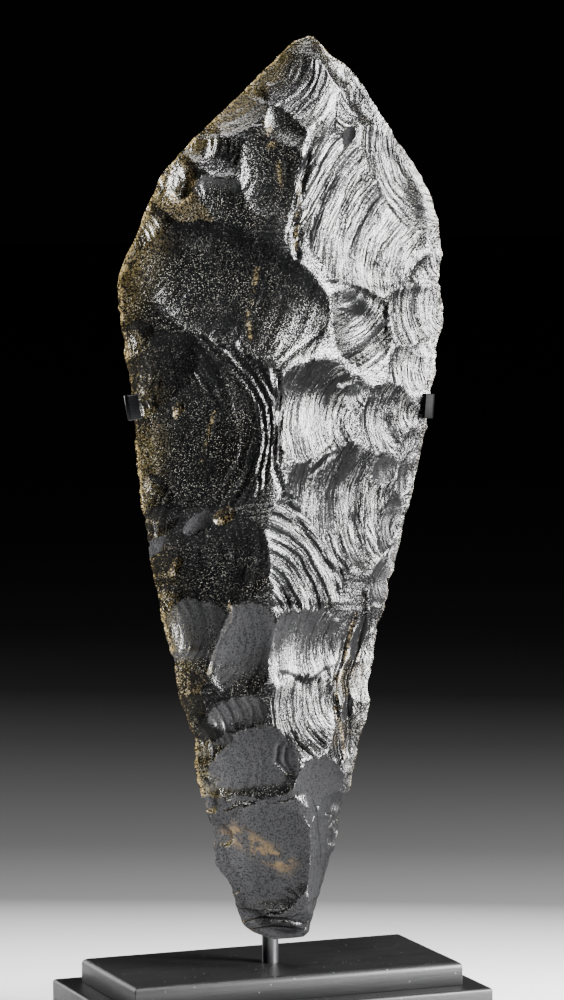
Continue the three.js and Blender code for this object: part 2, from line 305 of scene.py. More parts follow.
@dataclass(frozen=True)
class ObsidianFinish:
    """Volcanic glass: near black, speckled, with hair-fine streaks across each scar, and with painted light
    in its colour: a painted silvery sheen along the streaks, painted glints among the pale specks, and amber
    where it thins, partly the glass's own amber and partly a painted glow, mostly on the left half.

    Pits and old surfaces show a dull weathered layer instead, which is partly painted light: paler on the
    left half and darker on the right as painted light and shade, and darker still as painted shade where a
    scar's surface tilts down. Places, scales and depths are in metres, and each stretch of the streaks is for
    the piece's own map, in millimetres.
    """

    body: Colour = (0.0009, 0.0009, 0.0011)
    smoky: Colour = (0.0032, 0.0031, 0.0029)
    dim_amber: Colour = (0.058, 0.044, 0.013)
    amber: Colour = (0.23, 0.17, 0.07)
    honey: Colour = (0.34, 0.26, 0.13)
    speck: Colour = (0.31, 0.30, 0.26)
    painted_silver_sheen: Colour = (0.06, 0.061, 0.064)
    left_weathered_painted_light: Colour = (0.0245, 0.0245, 0.0254)
    right_weathered_painted_shade: Colour = (0.0092, 0.0092, 0.0096)
    earth: Colour = (0.09, 0.062, 0.031)
    left_fade: tuple[float, float] = (-0.02, 0.03)
    stain_from: tuple[float, float] = (-0.0275, 0.084)
    stain_to: tuple[float, float] = (-0.0045, 0.069)
    stain_front: float = -0.022
    clouds_per_metre: float = 55.0
    grains_per_metre: float = 1500.0
    specks_per_metre: float = 2900.0
    speck_radius: float = 0.36
    streak_stretch: tuple[float, float, float] = (0.66, 0.032, 1.0)
    fold_stretch: tuple[float, float, float] = (0.16, 0.03, 1.0)
    hatch_stretch: tuple[float, float, float] = (1.7, 0.11, 1.0)
    streak_sway: float = 4.5
    pitting: float = 0.94
    painted_hood_shade: float = 0.13
    grain_height: float = 0.36
    relief_height: float = 3.0
    bump_depth: float = 0.00038
    index: float = 1.5
    glass_specular: float = 0.85
    weathered_and_painted_light_specular: float = 0.02

    def material(self) -> bpy.types.Material:
        """Builds the material.

        Returns:
            The obsidian material.
        """
        shop = NodeShop("obsidian")
        place = shop.object_place()
        thin = shop.attribute("thin")
        flow = shop.attribute("flow").clamped()
        gold = shop.attribute("gold")
        matte = shop.attribute("matte")
        clouds = shop.noise(place, self.clouds_per_metre, 4.0, 0.6)
        grain = shop.noise(place, self.grains_per_metre, 2.0, 0.7)
        streaks, lines, hatch, folds = self._streaks(shop, place)

        left = 1 - place.axis(0).step(*self.left_fade)
        base = shop.mix(clouds.step(0.42, 0.72), self.body, self.smoky)
        # Painted sheen: silvery streaks where the waves are strong.
        base = shop.mix((flow * streaks.step(0.5, 0.75) * 0.8).clamped(), base, self.painted_silver_sheen)
        # Painted glow through the thin glass: a dim amber band where it thins, on the left half only; partly
        # the glass's own amber where thin.
        thin_amber_glow = thin.step(0.08, 0.7) * left * (0.3 + 0.9 * clouds) * grain.step(0.2, 0.7)
        base = shop.mix(thin_amber_glow.clamped(), base, self.dim_amber)
        # Pale specks, partly inclusions and partly painted glints, kept off the dull layer.
        base = shop.mix(self._specks(shop, place) * (1 - matte.clamped()), base, self.speck)
        # Painted glow at the thinnest edge: amber, mostly on the left half.
        rim = thin.step(0.80, 0.97) * (0.2 + 0.8 * left) * grain.step(0.3, 0.6)
        base = shop.mix(rim.clamped(), base, self.amber)
        base = shop.mix((gold * grain.step(0.36, 0.62)).clamped(), base, self.honey)
        roughness = ((0.13 + 0.10 * streaks + 0.10 * grain) * (1 - 0.25 * left)).clamped()
        waves = (0.15 + 1.4 * flow) * (streaks + lines) * (1 - 0.7 * matte)
        height = waves + self.grain_height * grain + self.relief_height * shop.attribute("relief")
        normal = shop.bump(height, 1.0, self.bump_depth)
        glass = shop.principled(base, roughness, normal,
                                {"IOR": self.index, "Specular IOR Level": self.glass_specular})

        # Painted light and shade: the dull layer is paler on the left half and darker on the right.
        skin = shop.mix(left, self.right_weathered_painted_shade, self.left_weathered_painted_light)
        speckle = (0.3 + 0.7 * grain.step(0.34, 0.58)) * (0.6 + 0.8 * clouds)
        skin = shop.mix((speckle * matte.step(0.0, 0.5)).clamped(), self.body, skin)
        skin = shop.mix(self._stain(shop, place), skin, self.earth)
        weathered_and_painted_light = shop.principled(skin, (0.5 + 0.15 * grain).clamped(), normal,
                                     {"IOR": self.index, "Specular IOR Level": self.weathered_and_painted_light_specular})
        share = (matte + 0.7 * (grain - 0.5)).step(0.25, 0.75)
        polish = grain + 0.55 * flow * (hatch - grain) + 0.5 * flow * (folds - 0.47)
        # Painted shade: more pitting, so darker glass, where a scar's surface tilts down.
        clear = (polish - self.painted_hood_shade * shop.attribute("hood")).step(0.44, 0.57)
        share = share + (1 - share) * (1 - clear) * self.pitting
        return shop.close(shop.signal("ShaderNodeMixShader", 0, None, {0: share, 1: glass, 2: weathered_and_painted_light}))

    def _streaks(self, shop: NodeShop, place: Signal) -> tuple[Signal, Signal, Signal, Signal]:
        """Hair-fine streaks, broken ripple lines, a finer hatching and broad folds that run round each blow.

        Args:
            shop: the material's nodes.
            place: Object coordinates.

        Returns:
            The streaks from 0 to 1, the lines from -1 to 1, the hatching and the folds from 0 to 1.
        """
        own_map = shop.signal("ShaderNodeUVMap", 0, {"uv_map": "flake_uv"})
        sway = shop.noise(place, 60.0, 2.0, 0.5) - 0.5
        along = own_map.axis(0) + self.streak_sway * sway
        across = own_map.axis(1)
        flow_place = shop.signal("ShaderNodeCombineXYZ", 0, None, {0: along, 1: across, 2: 0.0})
        streaks = shop.noise(shop.stretched(flow_place, self.streak_stretch), 1.0, 4.0, 0.62)
        folds = shop.noise(shop.stretched(flow_place, self.fold_stretch), 1.0, 2.0, 0.5)
        broken = shop.noise(place, 110.0, 2.0, 0.5).step(0.42, 0.62)
        lines = (2.4 * along + 8.0 * folds).sine() * broken * 0.22
        hatch = shop.noise(shop.stretched(flow_place, self.hatch_stretch), 1.0, 3.0, 0.6)
        return streaks, lines, hatch, folds

    def _specks(self, shop: NodeShop, place: Signal) -> Signal:
        """Tiny pale dots, partly inclusions and partly painted glints of sparkle: one small dot in some of
        the cells.

        Args:
            shop: the material's nodes.
            place: Object coordinates.

        Returns:
            Share of the dots' colour.
        """
        dot, lot = shop.dots(place, self.specks_per_metre, self.speck_radius)
        crowd = shop.noise(place, 90.0, 3.0, 0.6).step(0.3, 0.65)
        return (dot * lot.step(0.4, 0.95) * crowd * 0.9).clamped()

    def _stain(self, shop: NodeShop, place: Signal) -> Signal:
        """Earth left in the hollow above the butt, smeared along a slanting line on the worked face.

        Args:
            shop: the material's nodes.
            place: Object coordinates.

        Returns:
            Share of stain.
        """
        (x0, z0), (x1, z1) = self.stain_from, self.stain_to
        length = math.hypot(x1 - x0, z1 - z0)
        cos, sin = (x1 - x0) / length, (z1 - z0) / length
        x, y, z = place.axis(0), place.axis(1), place.axis(2)
        along = (x - x0) * cos + (z - z0) * sin
        across = ((z - z0) * cos - (x - x0) * sin).magnitude()
        ragged = shop.noise(place, 170.0, 7.0, 0.74)
        inside = along.step(-0.004, 0.004) * (1 - along.step(length - 0.004, length + 0.005))
        band = 1 - (across + 0.009 * ragged).step(0.0065, 0.0105)
        return (inside * band * ragged.step(0.45, 0.60) * y.below(self.stain_front) * 0.75).clamped()


@dataclass(frozen=True)
class SatinPaintFinish:
    """Black satin paint over close-grained wood, with fine dust."""

    name: str = "black_wood"
    paint: Colour = (0.0042, 0.0042, 0.0045)
    rubbed: Colour = (0.014, 0.014, 0.0145)
    dust: Colour = (0.20, 0.20, 0.19)
    grain_stretch: tuple[float, float, float] = (22.0, 420.0, 420.0)
    pore_stretch: tuple[float, float, float] = (160.0, 2200.0, 2200.0)
    clouds_per_metre: float = 34.0
    motes_per_metre: float = 420.0
    mote_radius: float = 0.11
    bump_strength: float = 0.5
    bump_depth: float = 0.00022
    specular: float = 0.4

    def material(self) -> bpy.types.Material:
        """Builds the material.

        Returns:
            The painted wood material.
        """
        shop = NodeShop(self.name)
        place = shop.object_place()
        grain = shop.noise(shop.stretched(place, self.grain_stretch), 1.0, 5.0, 0.6)
        pores = shop.noise(shop.stretched(place, self.pore_stretch), 1.0, 2.0, 0.5)
        clouds = shop.noise(place, self.clouds_per_metre, 4.0, 0.6)
        mote, lot = shop.dots(place, self.motes_per_metre, self.mote_radius)
        base = shop.mix((0.7 * clouds * grain).clamped(), self.paint, self.rubbed)
        base = shop.mix(mote * lot.above(0.66) * 0.55, base, self.dust)
        roughness = (0.33 + 0.12 * clouds + 0.10 * grain).clamped()
        normal = shop.bump(0.6 * grain + 0.4 * pores, self.bump_strength, self.bump_depth)
        return shop.close(shop.principled(base, roughness, normal, {"Specular IOR Level": self.specular}))


@dataclass(frozen=True)
class BlackSteelFinish:
    """Blackened steel with drawn lines along the strip and a few rubbed spots."""

    name: str = "black_steel"
    black: Colour = (0.012, 0.012, 0.013)
    rubbed: Colour = (0.045, 0.044, 0.042)
    roughness: float = 0.24
    specular: float = 0.5
    drawn_stretch: tuple[float, float, float] = (60.0, 60.0, 2400.0)
    spots_per_metre: float = 260.0
    bump_strength: float = 0.12
    bump_depth: float = 0.00012

    def material(self) -> bpy.types.Material:
        """Builds the material.

        Returns:
            The blackened steel material.
        """
        shop = NodeShop(self.name)
        place = shop.object_place()
        drawn = shop.noise(shop.stretched(place, self.drawn_stretch), 1.0, 3.0, 0.55)
        spots = shop.noise(place, self.spots_per_metre, 4.0, 0.6)
        base = shop.mix((spots.step(0.56, 0.76) * 0.6).clamped(), self.black, self.rubbed)
        roughness = (self.roughness + 0.14 * drawn + 0.10 * spots).clamped()
        normal = shop.bump(0.5 * drawn + 0.5 * spots, self.bump_strength, self.bump_depth)
        return shop.close(shop.principled(base, roughness, normal, {"Specular IOR Level": self.specular}))


@dataclass(frozen=True)
class FloorFinish:
    """A pale floor with a painted pool of light: it darkens away from the object, least of all towards the
    front.

    Each stop is a distance in metres and the shade there. slant turns the fall-off along the camera's view,
    and distances count less to the sides and to the front.
    """

    stops: tuple[tuple[float, float], ...] = (
        (0.10, 0.95), (0.20, 0.50), (0.29, 0.13), (0.44, 0.070), (0.61, 0.048), (0.80, 0.024), (1.02, 0.0048),
        (1.28, 0.0008), (1.40, 0.0002),
    )
    reach: float = 1.4
    slant: float = 0.42
    side_share: float = 0.4
    front_share: float = 0.55
    clouds_per_metre: float = 3.0
    specular: float = 0.1
    bump_strength: float = 0.02
    bump_depth: float = 0.0002

    def material(self) -> bpy.types.Material:
        """Builds the material.

        Returns:
            The floor material.
        """
        shop = NodeShop("pale_floor")
        place = shop.object_place()
        clouds = shop.noise(place, self.clouds_per_metre, 3.0, 0.5)
        x = self.side_share * place.axis(0)
        y = place.axis(1) + self.slant * place.axis(0)
        y = y * (self.front_share + (1 - self.front_share) * y.above(0.0))
        away = (x * x + y * y) ** 0.5 * (1 / self.reach) + 0.02 * (clouds - 0.5)
        # Painted pool of light: the floor's colour falls from pale near the object to near black far away.
        stops = [(distance / self.reach, (shade,) * 3) for distance, shade in self.stops]
        base = shop.signal("ShaderNodeValToRGB", 0, {"stops": stops}, {0: away})
        roughness = (0.62 + 0.1 * clouds).clamped()
        normal = shop.bump(clouds, self.bump_strength, self.bump_depth)
        return shop.close(shop.principled(base, roughness, normal, {"Specular IOR Level": self.specular}))


# Mesh helpers


def smooth_through(stations: Stations, z: np.ndarray) -> np.ndarray:
    """A smooth curve through [z, value] stations that never overshoots them.

    Args:
        stations: rising z with a value each.
        z: where to read the curve.

    Returns:
        The curve's values.
    """
    knots, values = np.array(stations, dtype=float).T
    secants = np.diff(values) / np.diff(knots)
    slopes = np.concatenate(([secants[0]], np.zeros(len(knots) - 2), [secants[-1]]))
    both = secants[:-1] * secants[1:]
    safe = np.where(both > 0, secants[:-1] + secants[1:], 1.0)
    slopes[1:-1] = np.where(both > 0, 2 * both / safe, 0.0)
    i = np.clip(np.searchsorted(knots, z) - 1, 0, len(knots) - 2)
    span = knots[i + 1] - knots[i]
    t = np.clip((z - knots[i]) / span, 0.0, 1.0)
    rise = t * t * (3 - 2 * t)
    start = t * (1 - t) ** 2 * span * slopes[i]
    end = t * t * (t - 1) * span * slopes[i + 1]
    return values[i] + (values[i + 1] - values[i]) * rise + start + end


def smooth_step(low: float, high: float, value: np.ndarray) -> np.ndarray:
    """A smooth rise from 0 at low to 1 at high."""
    t = np.clip((value - low) / (high - low), 0.0, 1.0)
    return t * t * (3 - 2 * t)


def cloud(a: np.ndarray, b: np.ndarray, key: float) -> np.ndarray:
    """Smooth seeded noise over two coordinates.

    Args:
        a: first coordinate, one cell for each whole number.
        b: second coordinate.
        key: seed; each key gives its own pattern.

    Returns:
        Values from 0 to 1.
    """
    a0, b0 = np.floor(a), np.floor(b)
    fa, fb = smooth_step(0, 1, a - a0), smooth_step(0, 1, b - b0)

    def corner(i: np.ndarray, j: np.ndarray) -> np.ndarray:
        """A fixed random value for a lattice corner."""
        return np.mod(np.sin(i * 127.1 + j * 311.7 + key * 74.7) * 43758.5453, 1.0)

    low = corner(a0, b0) * (1 - fa) + corner(a0 + 1, b0) * fa
    high = corner(a0, b0 + 1) * (1 - fa) + corner(a0 + 1, b0 + 1) * fa
    return low * (1 - fb) + high * fb


def near_line(points: Sequence[tuple[float, float]], x: np.ndarray, z: np.ndarray) -> np.ndarray:
    """Distance to a bent line, positive to the right of its way.

    Args:
        points: the line's points in order.
        x: across the face.
        z: up the face.

    Returns:
        Distances in millimetres.
    """
    best = np.full(x.shape, 1e3)
    for (x0, z0), (x1, z1) in zip(points, points[1:]):
        ex, ez = x1 - x0, z1 - z0
        t = np.clip(((x - x0) * ex + (z - z0) * ez) / (ex * ex + ez * ez), 0.0, 1.0)
        dx, dz = x - x0 - t * ex, z - z0 - t * ez
        side = np.where(dx * ez - dz * ex >= 0, 1.0, -1.0)
        apart = side * np.hypot(dx, dz)
        best = np.where(np.abs(apart) < np.abs(best), apart, best)
    return best


def circle(bm: bmesh.types.BMesh, middle: Place, radius: float, sides: int) -> list[bmesh.types.BMVert]:
    """A level ring of vertices, counter-clockwise from above.

    Args:
        bm: the mesh being made.
        middle: the ring's middle in millimetres.
        radius: its radius in millimetres.
        sides: number of vertices.

    Returns:
        The ring.
    """
    x, y, z = middle
    turns = [2 * math.pi * i / sides for i in range(sides)]
    return [bm.verts.new(((x + radius * math.cos(a)) * MM, (y + radius * math.sin(a)) * MM, z * MM))
            for a in turns]


def skirt(bm: bmesh.types.BMesh, below: list[bmesh.types.BMVert], above: list[bmesh.types.BMVert]) -> None:
    """Faces between two rings.

    Args:
        bm: the mesh being made.
        below: the first ring.
        above: the second ring, with as many vertices.
    """
    for i in range(len(below)):
        j = (i + 1) % len(below)
        bm.faces.new((below[i], below[j], above[j], above[i]))


def finished_mesh(name: str, bm: bmesh.types.BMesh) -> bpy.types.Mesh:
    """Turns the mesh being made into a mesh with a name.

    Args:
        name: the new mesh's name.
        bm: the mesh being made, which is freed.

    Returns:
        The new mesh.
    """
    mesh = bpy.data.meshes.new(name)
    bm.to_mesh(mesh)
    bm.free()
    return mesh


def new_piece(name: str, mesh: bpy.types.Mesh, material: bpy.types.Material, node: str,
              crease_deg: float) -> bpy.types.Object:
    """Puts a finished mesh into the scene as a piece that stands for a CAD node.

    Args:
        name: the piece's name.
        mesh: its mesh, in metres and in place.
        material: its finish.
        node: the CAD node it replaces.
        crease_deg: edges bent more than this stay sharp.

    Returns:
        The new object.
    """
    mesh.materials.clear()
    mesh.materials.append(material)
    mesh.shade_smooth()
    mesh.set_sharp_from_angle(angle=math.radians(crease_deg))
    piece = bpy.data.objects.new(name, mesh)
    bpy.context.scene.collection.objects.link(piece)
    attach(piece, "root")
    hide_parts(node)
    LOG.info("%s: %d faces", name, len(mesh.polygons))
    return piece


# The chopper

# Length of the streaks' arc for each radian, in half lengths of the scar
ARC_SCALE = 1.1
# Sizes of the ripples' uneven parts in millimetres, away from the blow and round it
FOLDS = (6.0, 26.0)
FURROWS = (2.3, 15.0)
PATCHES = (17.0, 13.0)


@dataclass(frozen=True)
class FlakeScar:
    """One flake scar: a shallow rippled bowl, in the chopper's own millimetres.

    x and z are its middle, half_length runs along the way the flake ran, half_width across it. travel is that
    way in degrees, 0 towards +x and 90 towards the tip. ripple scales the waves that spread from the blow,
    gold is a share of honey colour, matte a share of the dull weathered layer, which is partly painted light
    (painted shade on the right half, a painted reflection of the pale floor on down-facing facets of the
    left), swing turns the waves away from the travel and throw is how many half lengths away they start.
    """

    x: float
    z: float
    half_length: float
    half_width: float
    travel: float
    depth: float
    ripple: float = 0.5
    gold: float = 0.0
    matte: float = 0.0
    swing: float = 0.0
    throw: float = 1.15

    @property
    def along(self) -> tuple[float, float]:
        """The way the flake ran, as a unit vector."""
        return math.cos(math.radians(self.travel)), math.sin(math.radians(self.travel))

    @property
    def spread(self) -> tuple[float, float]:
        """The way the waves ran, as a unit vector."""
        way = math.radians(self.travel + self.swing)
        return math.cos(way), math.sin(way)

    @property
    def blow(self) -> tuple[float, float]:
        """The point from which the waves spread."""
        c, s = self.spread
        return self.x - c * self.half_length * self.throw, self.z - s * self.half_length * self.throw

    def frame_at(self, x: np.ndarray, z: np.ndarray) -> tuple[np.ndarray, np.ndarray]:
        """Where points lie in the bowl.

        Args:
            x: across the face.
            z: up the face.

        Returns:
            Shares of its half length and of its half width.
        """
        c, s = self.along
        dx, dz = x - self.x, z - self.z
        return (dx * c + dz * s) / self.half_length, (dz * c - dx * s) / self.half_width

    def surface(self, x: np.ndarray, z: np.ndarray) -> np.ndarray:
        """Height of the scar's surface below the uncut face.

        Args:
            x: across the face.
            z: up the face.

        Returns:
            Height in millimetres, below 0 inside the bowl.
        """
        u, v = self.frame_at(x, z)
        out = u * u + v * v
        height = -self.depth * (1 - out)
        close = out < 2.9
        height[close] += self._ripples(x[close], z[close], np.sqrt(out[close]), u[close])
        return height

    def _ripples(self, x: np.ndarray, z: np.ndarray, out: np.ndarray, u: np.ndarray) -> np.ndarray:
        """Waves that spread from the blow, stronger towards the scar's end.

        Args:
            x: across the face.
            z: up the face.
            out: distance from the bowl's middle as a share of its rim.
            u: share of the half length along the flake's way.

        Returns:
            Height of the waves in millimetres.
        """
        reach, arc = self.polar(x, z)
        key = self.x * 0.37 + self.z * 0.23
        folds = cloud(reach / FOLDS[0], arc / FOLDS[1], key) - 0.5
        furrows = cloud(reach / FURROWS[0] + 2.0 * folds, arc / FURROWS[1], key + 5.0) - 0.5
        phase = 2 * math.pi * reach / (2.6 + 0.07 * self.half_length) + 9.0 * folds
        waves = 0.75 * np.sin(phase) + 0.25 * np.sin(2 * phase + 0.6) + 1.9 * folds + 1.5 * furrows
        arcs = smooth_step(0.22, 0.75, cloud(reach / PATCHES[0], arc / PATCHES[1], key + 11.0))
        start = smooth_step(-0.98, -0.35, u)
        end = 1 + 0.9 * smooth_step(0.62, 1.0, out)
        size = 0.36 * min(1.0, self.half_length / 13.0)
        return self.ripple * size * waves * (0.3 + 0.9 * arcs) * start * end * smooth_step(1.7, 1.2, out)

    def polar(self, x: np.ndarray, z: np.ndarray) -> tuple[np.ndarray, np.ndarray]:
        """Where points lie round the blow.

        Args:
            x: across the face.
            z: up the face.

        Returns:
            Distance from the blow and length of arc round it, in millimetres.
        """
        bx, bz = self.blow
        c, s = self.spread
        dx, dz = x - bx, z - bz
        turn = np.arctan2(dz * c - dx * s, dx * c + dz * s)
        return np.hypot(dx, dz), turn * self.half_length * ARC_SCALE


# Scars of the worked face: x, z, half length, half width, travel, depth, ripple, gold, matte, swing, throw
# On the right half the matte column darkens facets as painted shade.
RIGHT_SCARS = (
    (20, 333, 6, 10, 235, 1.6, 0.6), (21, 316, 10, 9, 230, 1.9, 0.4),
    (21.5, 305, 3.2, 6.4, 170, 1.9, 0.2, 0.1, 0.5), (44, 289, 18, 27, 211, 5.2, 1.3),
    (28, 276, 38, 27, 145, 4.2, 1.3), (26, 233, 19, 13, 300, 3.4, 1.1), (29, 225, 5, 6, 330, 2.6, 1.0),
    (51, 238, 15, 14, 190, 2.8, 1.2), (50, 217, 12, 9, 180, 2.2, 1.1), (6, 202, 19, 21, 170, 3.8, 1.1),
    (22, 206, 8, 7, 200, 2.2, 1.0, 0, 0.3), (38, 199, 14, 13, 185, 2.6, 1.1), (50, 190, 7, 7, 180, 2.1, 1.0),
    (36, 178, 8, 7, 190, 2.4, 0.7, 0, 0.55), (18, 165, 27, 26, 180, 3.8, 1.3),
    (40, 158, 6, 10.5, 165, 2.9, 1.2, 0, 0.55), (38, 136, 6, 10, 165, 2.3, 1.2, 0, 0.5),
    (5, 112, 21, 18, 180, 3.6, 0.9, 0, 0.3), (26, 98, 9, 14, 175, 2.4, 1.0, 0.08),
    (4, 92, 15, 19, 180, 2.9, 1.2), (24, 78, 8, 11, 170, 2.1, 0.9, 0.05),
    (27.5, 113, 3.4, 11, 170, 2.6, 0.9, 0, 0.6), (22.5, 90, 3.6, 9, 170, 2.6, 0.9, 0, 0.6),
    (26, 74, 3, 7, 170, 2.2, 0.9, 0, 0.6), (47, 174, 3, 8, 170, 2.4, 0.9, 0, 0.5),
    (43, 145, 2.6, 7, 170, 2.2, 0.9, 0, 0.5), (11, 61, 13, 10, 180, 2.1, 0.5, 0, 1.1),
    (14, 44, 5, 4, 190, 1.6, 0.6, 0, 0.9), (13, 30, 10, 22, 180, 2.6, 0.6, 0, 0.9),
    (19, 50, 4, 5, 175, 2.6, 0.8, 0, 0.5), (17, 38, 4, 5, 190, 2.8, 0.8, 0, 0.6),
    (14, 23, 4, 6, 180, 2.8, 0.8, 0, 0.6), (11, 12, 4, 5, 170, 2.6, 0.8, 0, 0.6),
)
LEFT_SCARS = (
    (4, 322, 18, 13, 320, 2.6, 0.6, 0, 0.15), (-20, 318, 9, 15, 315, 1.8, 0.4, 0.08, 0.3),
    (-5, 310, 8, 8, 300, 2.1, 0.2), (-29, 297, 9, 9, 320, 2.5, 0.7), (-12, 291, 14, 15, 350, 2.8, 0.2),
    (-44.5, 288.5, 5, 9, 350, 3.4, 0.2, 0), (-30, 284, 11, 9, 0, 1.8, 0.4, 0, 0.4),
    (-43, 281, 12, 6, 340, 1.5, 0.3, 0.12), (-27, 250, 43, 21, 335, 4.8, 0.14),
    (-52, 217, 16, 17, 0, 2.7, 0.2), (-34, 199, 24.5, 32, 0, 3.3, 0.5), (-38, 196, 22, 28, 0, 4.0, 0.12),
    (-46.5, 205, 2.8, 4.6, 350, 5.2, 0.2, 0.5), (-32, 164, 5, 3.6, 40, 3.0, 0.2, 0.6),
    (-40, 160, 7.5, 5, 40, 3.6, 0.15, 0, 1.3), (-53, 153, 6, 5, 30, 2.6, 0.15, 0.12, 1.3),
    (-36, 148, 24, 19, 355, 3.4, 0.2), (-46, 145, 2.8, 5.4, 330, 5.2, 0.2, 0.55),
    (2, 150, 18, 25, 0, 2.8, 1.4, 0, 0, 45, 2.4), (-42, 119, 15, 16, 0, 3.4, 0.5, 0, 0.4),
    (-22, 113, 13, 18, 350, 3.6, 0.15, 0, 0.5), (-42, 100, 6, 7, 0, 1.5, 0.4, 0.2),
    (-39, 91, 5, 6, 0, 1.4, 0.4, 0.2), (-23, 88, 11, 8, 20, 3.0, 0.8, 0, 0.4),
    (-32, 77, 9, 5, 15, 2.5, 0.9, 0, 0.4), (-16, 69, 17, 16, 10, 3.7, 0.2, 0, 0.8),
    (-34.5, 57, 4, 7, 30, 2.2, 0.3, 0.1, 0.6), (-27, 32, 5, 5, 30, 1.2, 0.4, 0, 0.5),
    (-11, 33, 22, 18, 92, 2.5, 0.2, 0, 0.9), (-6, 2, 6, 15, 90, 3.2, 0.5, 0, 0.8),
)
# Grooves of the worked face: points, half width, depth
GROOVES = (
    (((9, 311), (4, 301), (1, 291), (-1, 280), (-2.7, 270), (-2.2, 261)), 0.9, 0.9),
    (((6, 309), (1.5, 300), (-1.6, 290), (-3.6, 279), (-5, 268)), 0.7, 0.4),
    (((-31, 224), (-23, 215), (-17, 205), (-15.7, 196), (-16.6, 184), (-18.5, 172)), 0.6, 0.6),
    (((-29, 227), (-20, 217), (-14.6, 206), (-13.3, 196), (-14.2, 185), (-16, 174)), 0.8, 0.8),
    (((-25, 229), (-17.6, 219), (-12.6, 208)), 0.7, 0.7),
    (((-12, 220), (-11.4, 200), (-12, 182), (-9.5, 174), (-4.5, 164), (3, 153), (10.5, 146), (17.4, 140)),
     0.8, 0.7),
    (((-10.5, 219), (-9.6, 200), (-9.8, 184)), 0.6, 0.8),
    (((-9.5, 221), (-2, 227), (8, 233)), 0.8, 0.5),
    (((3, 182), (8, 186), (14, 191)), 0.6, 0.45),
    (((5, 179), (11, 184), (16, 187)), 0.6, 0.45),
    (((17, 213), (23, 213.5), (29, 209)), 1.0, 0.8),
    (((43.5, 167), (37, 162), (35, 156), (39, 148)), 0.9, 0.8),
    (((-2.5, 80.5), (-8, 76), (-8.6, 70), (-4, 65.5)), 0.7, 0.6),
    (((-0.5, 79.5), (-5, 75), (-5.4, 70), (-2, 65.5)), 0.7, 0.55),
    (((-26, 53.5), (-20, 55.5), (-14, 53), (-8, 55), (-1, 58)), 0.9, 0.45),
    (((-27, 132), (-26, 126), (-30.5, 116), (-33, 106), (-37, 100)), 0.7, 0.4),
    (((-19, 7.5), (-12, 9.6), (-4, 9.2), (4, 6.4), (7, 6)), 0.8, 0.8),
    (((-16, 4.6), (-8, 6), (0, 5), (6, 3.4)), 0.7, 0.6),
    (((-20, 13), (-13, 12.2), (-5, 13.2)), 0.6, 0.35),
    (((24.4, 124), (22.8, 119), (20.3, 106), (17, 98), (15.7, 89), (19.5, 78), (21.4, 69)), 1.0, 1.3),
    (((30, 132), (28.5, 118), (27, 106), (23, 99), (21.5, 90), (24, 80), (25, 70)), 0.9, 1.4),
    (((34, 128), (32, 112), (30, 100), (28, 88), (28.5, 78)), 0.8, 1.1),
    (((6.5, 54), (9, 46), (10.5, 38), (11.5, 28)), 0.7, 0.6),
    (((-44.5, 294.5), (-42.2, 292.5), (-41.4, 288.5), (-42.2, 284.5), (-44.5, 282.5), (-46.8, 284.5),
      (-47.6, 288.5), (-46.8, 292.5), (-44.5, 294.5)), 1.0, 0.9),
)
# Rolled-down borders of the worked face: points, reach to the right of their way, drop
ROLLS = (
    (((18, 324), (14, 309)), 4.0, 0.5),
    (((14, 252), (26, 249), (36, 242), (37, 232)), 4.0, 0.8),
    (((22, 120), (14, 126), (2, 129), (-10, 128.5)), 4.0, 0.5),
    (((-4, 103), (4, 98), (14, 103)), 5.0, 0.8),
)
# Honey-coloured lines of the worked face: points, half width, strength
HONEY_LINES = (
    (((0, 289), (-2, 276), (-3.4, 264)), 0.6, 0.8),
    (((-17, 258), (-18.5, 249), (-21, 240), (-20.5, 231)), 0.6, 0.5),
    (((-33.5, 203), (-35.5, 194), (-38, 184)), 0.55, 0.45),
    (((-28, 131), (-27, 125), (-31.5, 116), (-34, 106), (-38, 100)), 0.6, 0.75),
    (((25.6, 124), (24, 119), (21.5, 106), (18.2, 98), (16.9, 89), (20.7, 78), (22.6, 69)), 0.6, 0.7),
    (((29, 118), (27.6, 106), (23.8, 99), (22.3, 90)), 0.5, 0.5),
    (((-44.5, 296), (-41.4, 293.5), (-40.2, 288.5), (-41.4, 283.5), (-44.5, 281), (-47.6, 283.5),
      (-48.8, 288.5), (-47.6, 293.5), (-44.5, 296)), 0.8, 0.9),
    (((-11, 311), (-10.5, 303)), 1.4, 0.35),
    (((-8, 296), (-7.5, 286)), 0.6, 0.35),
)


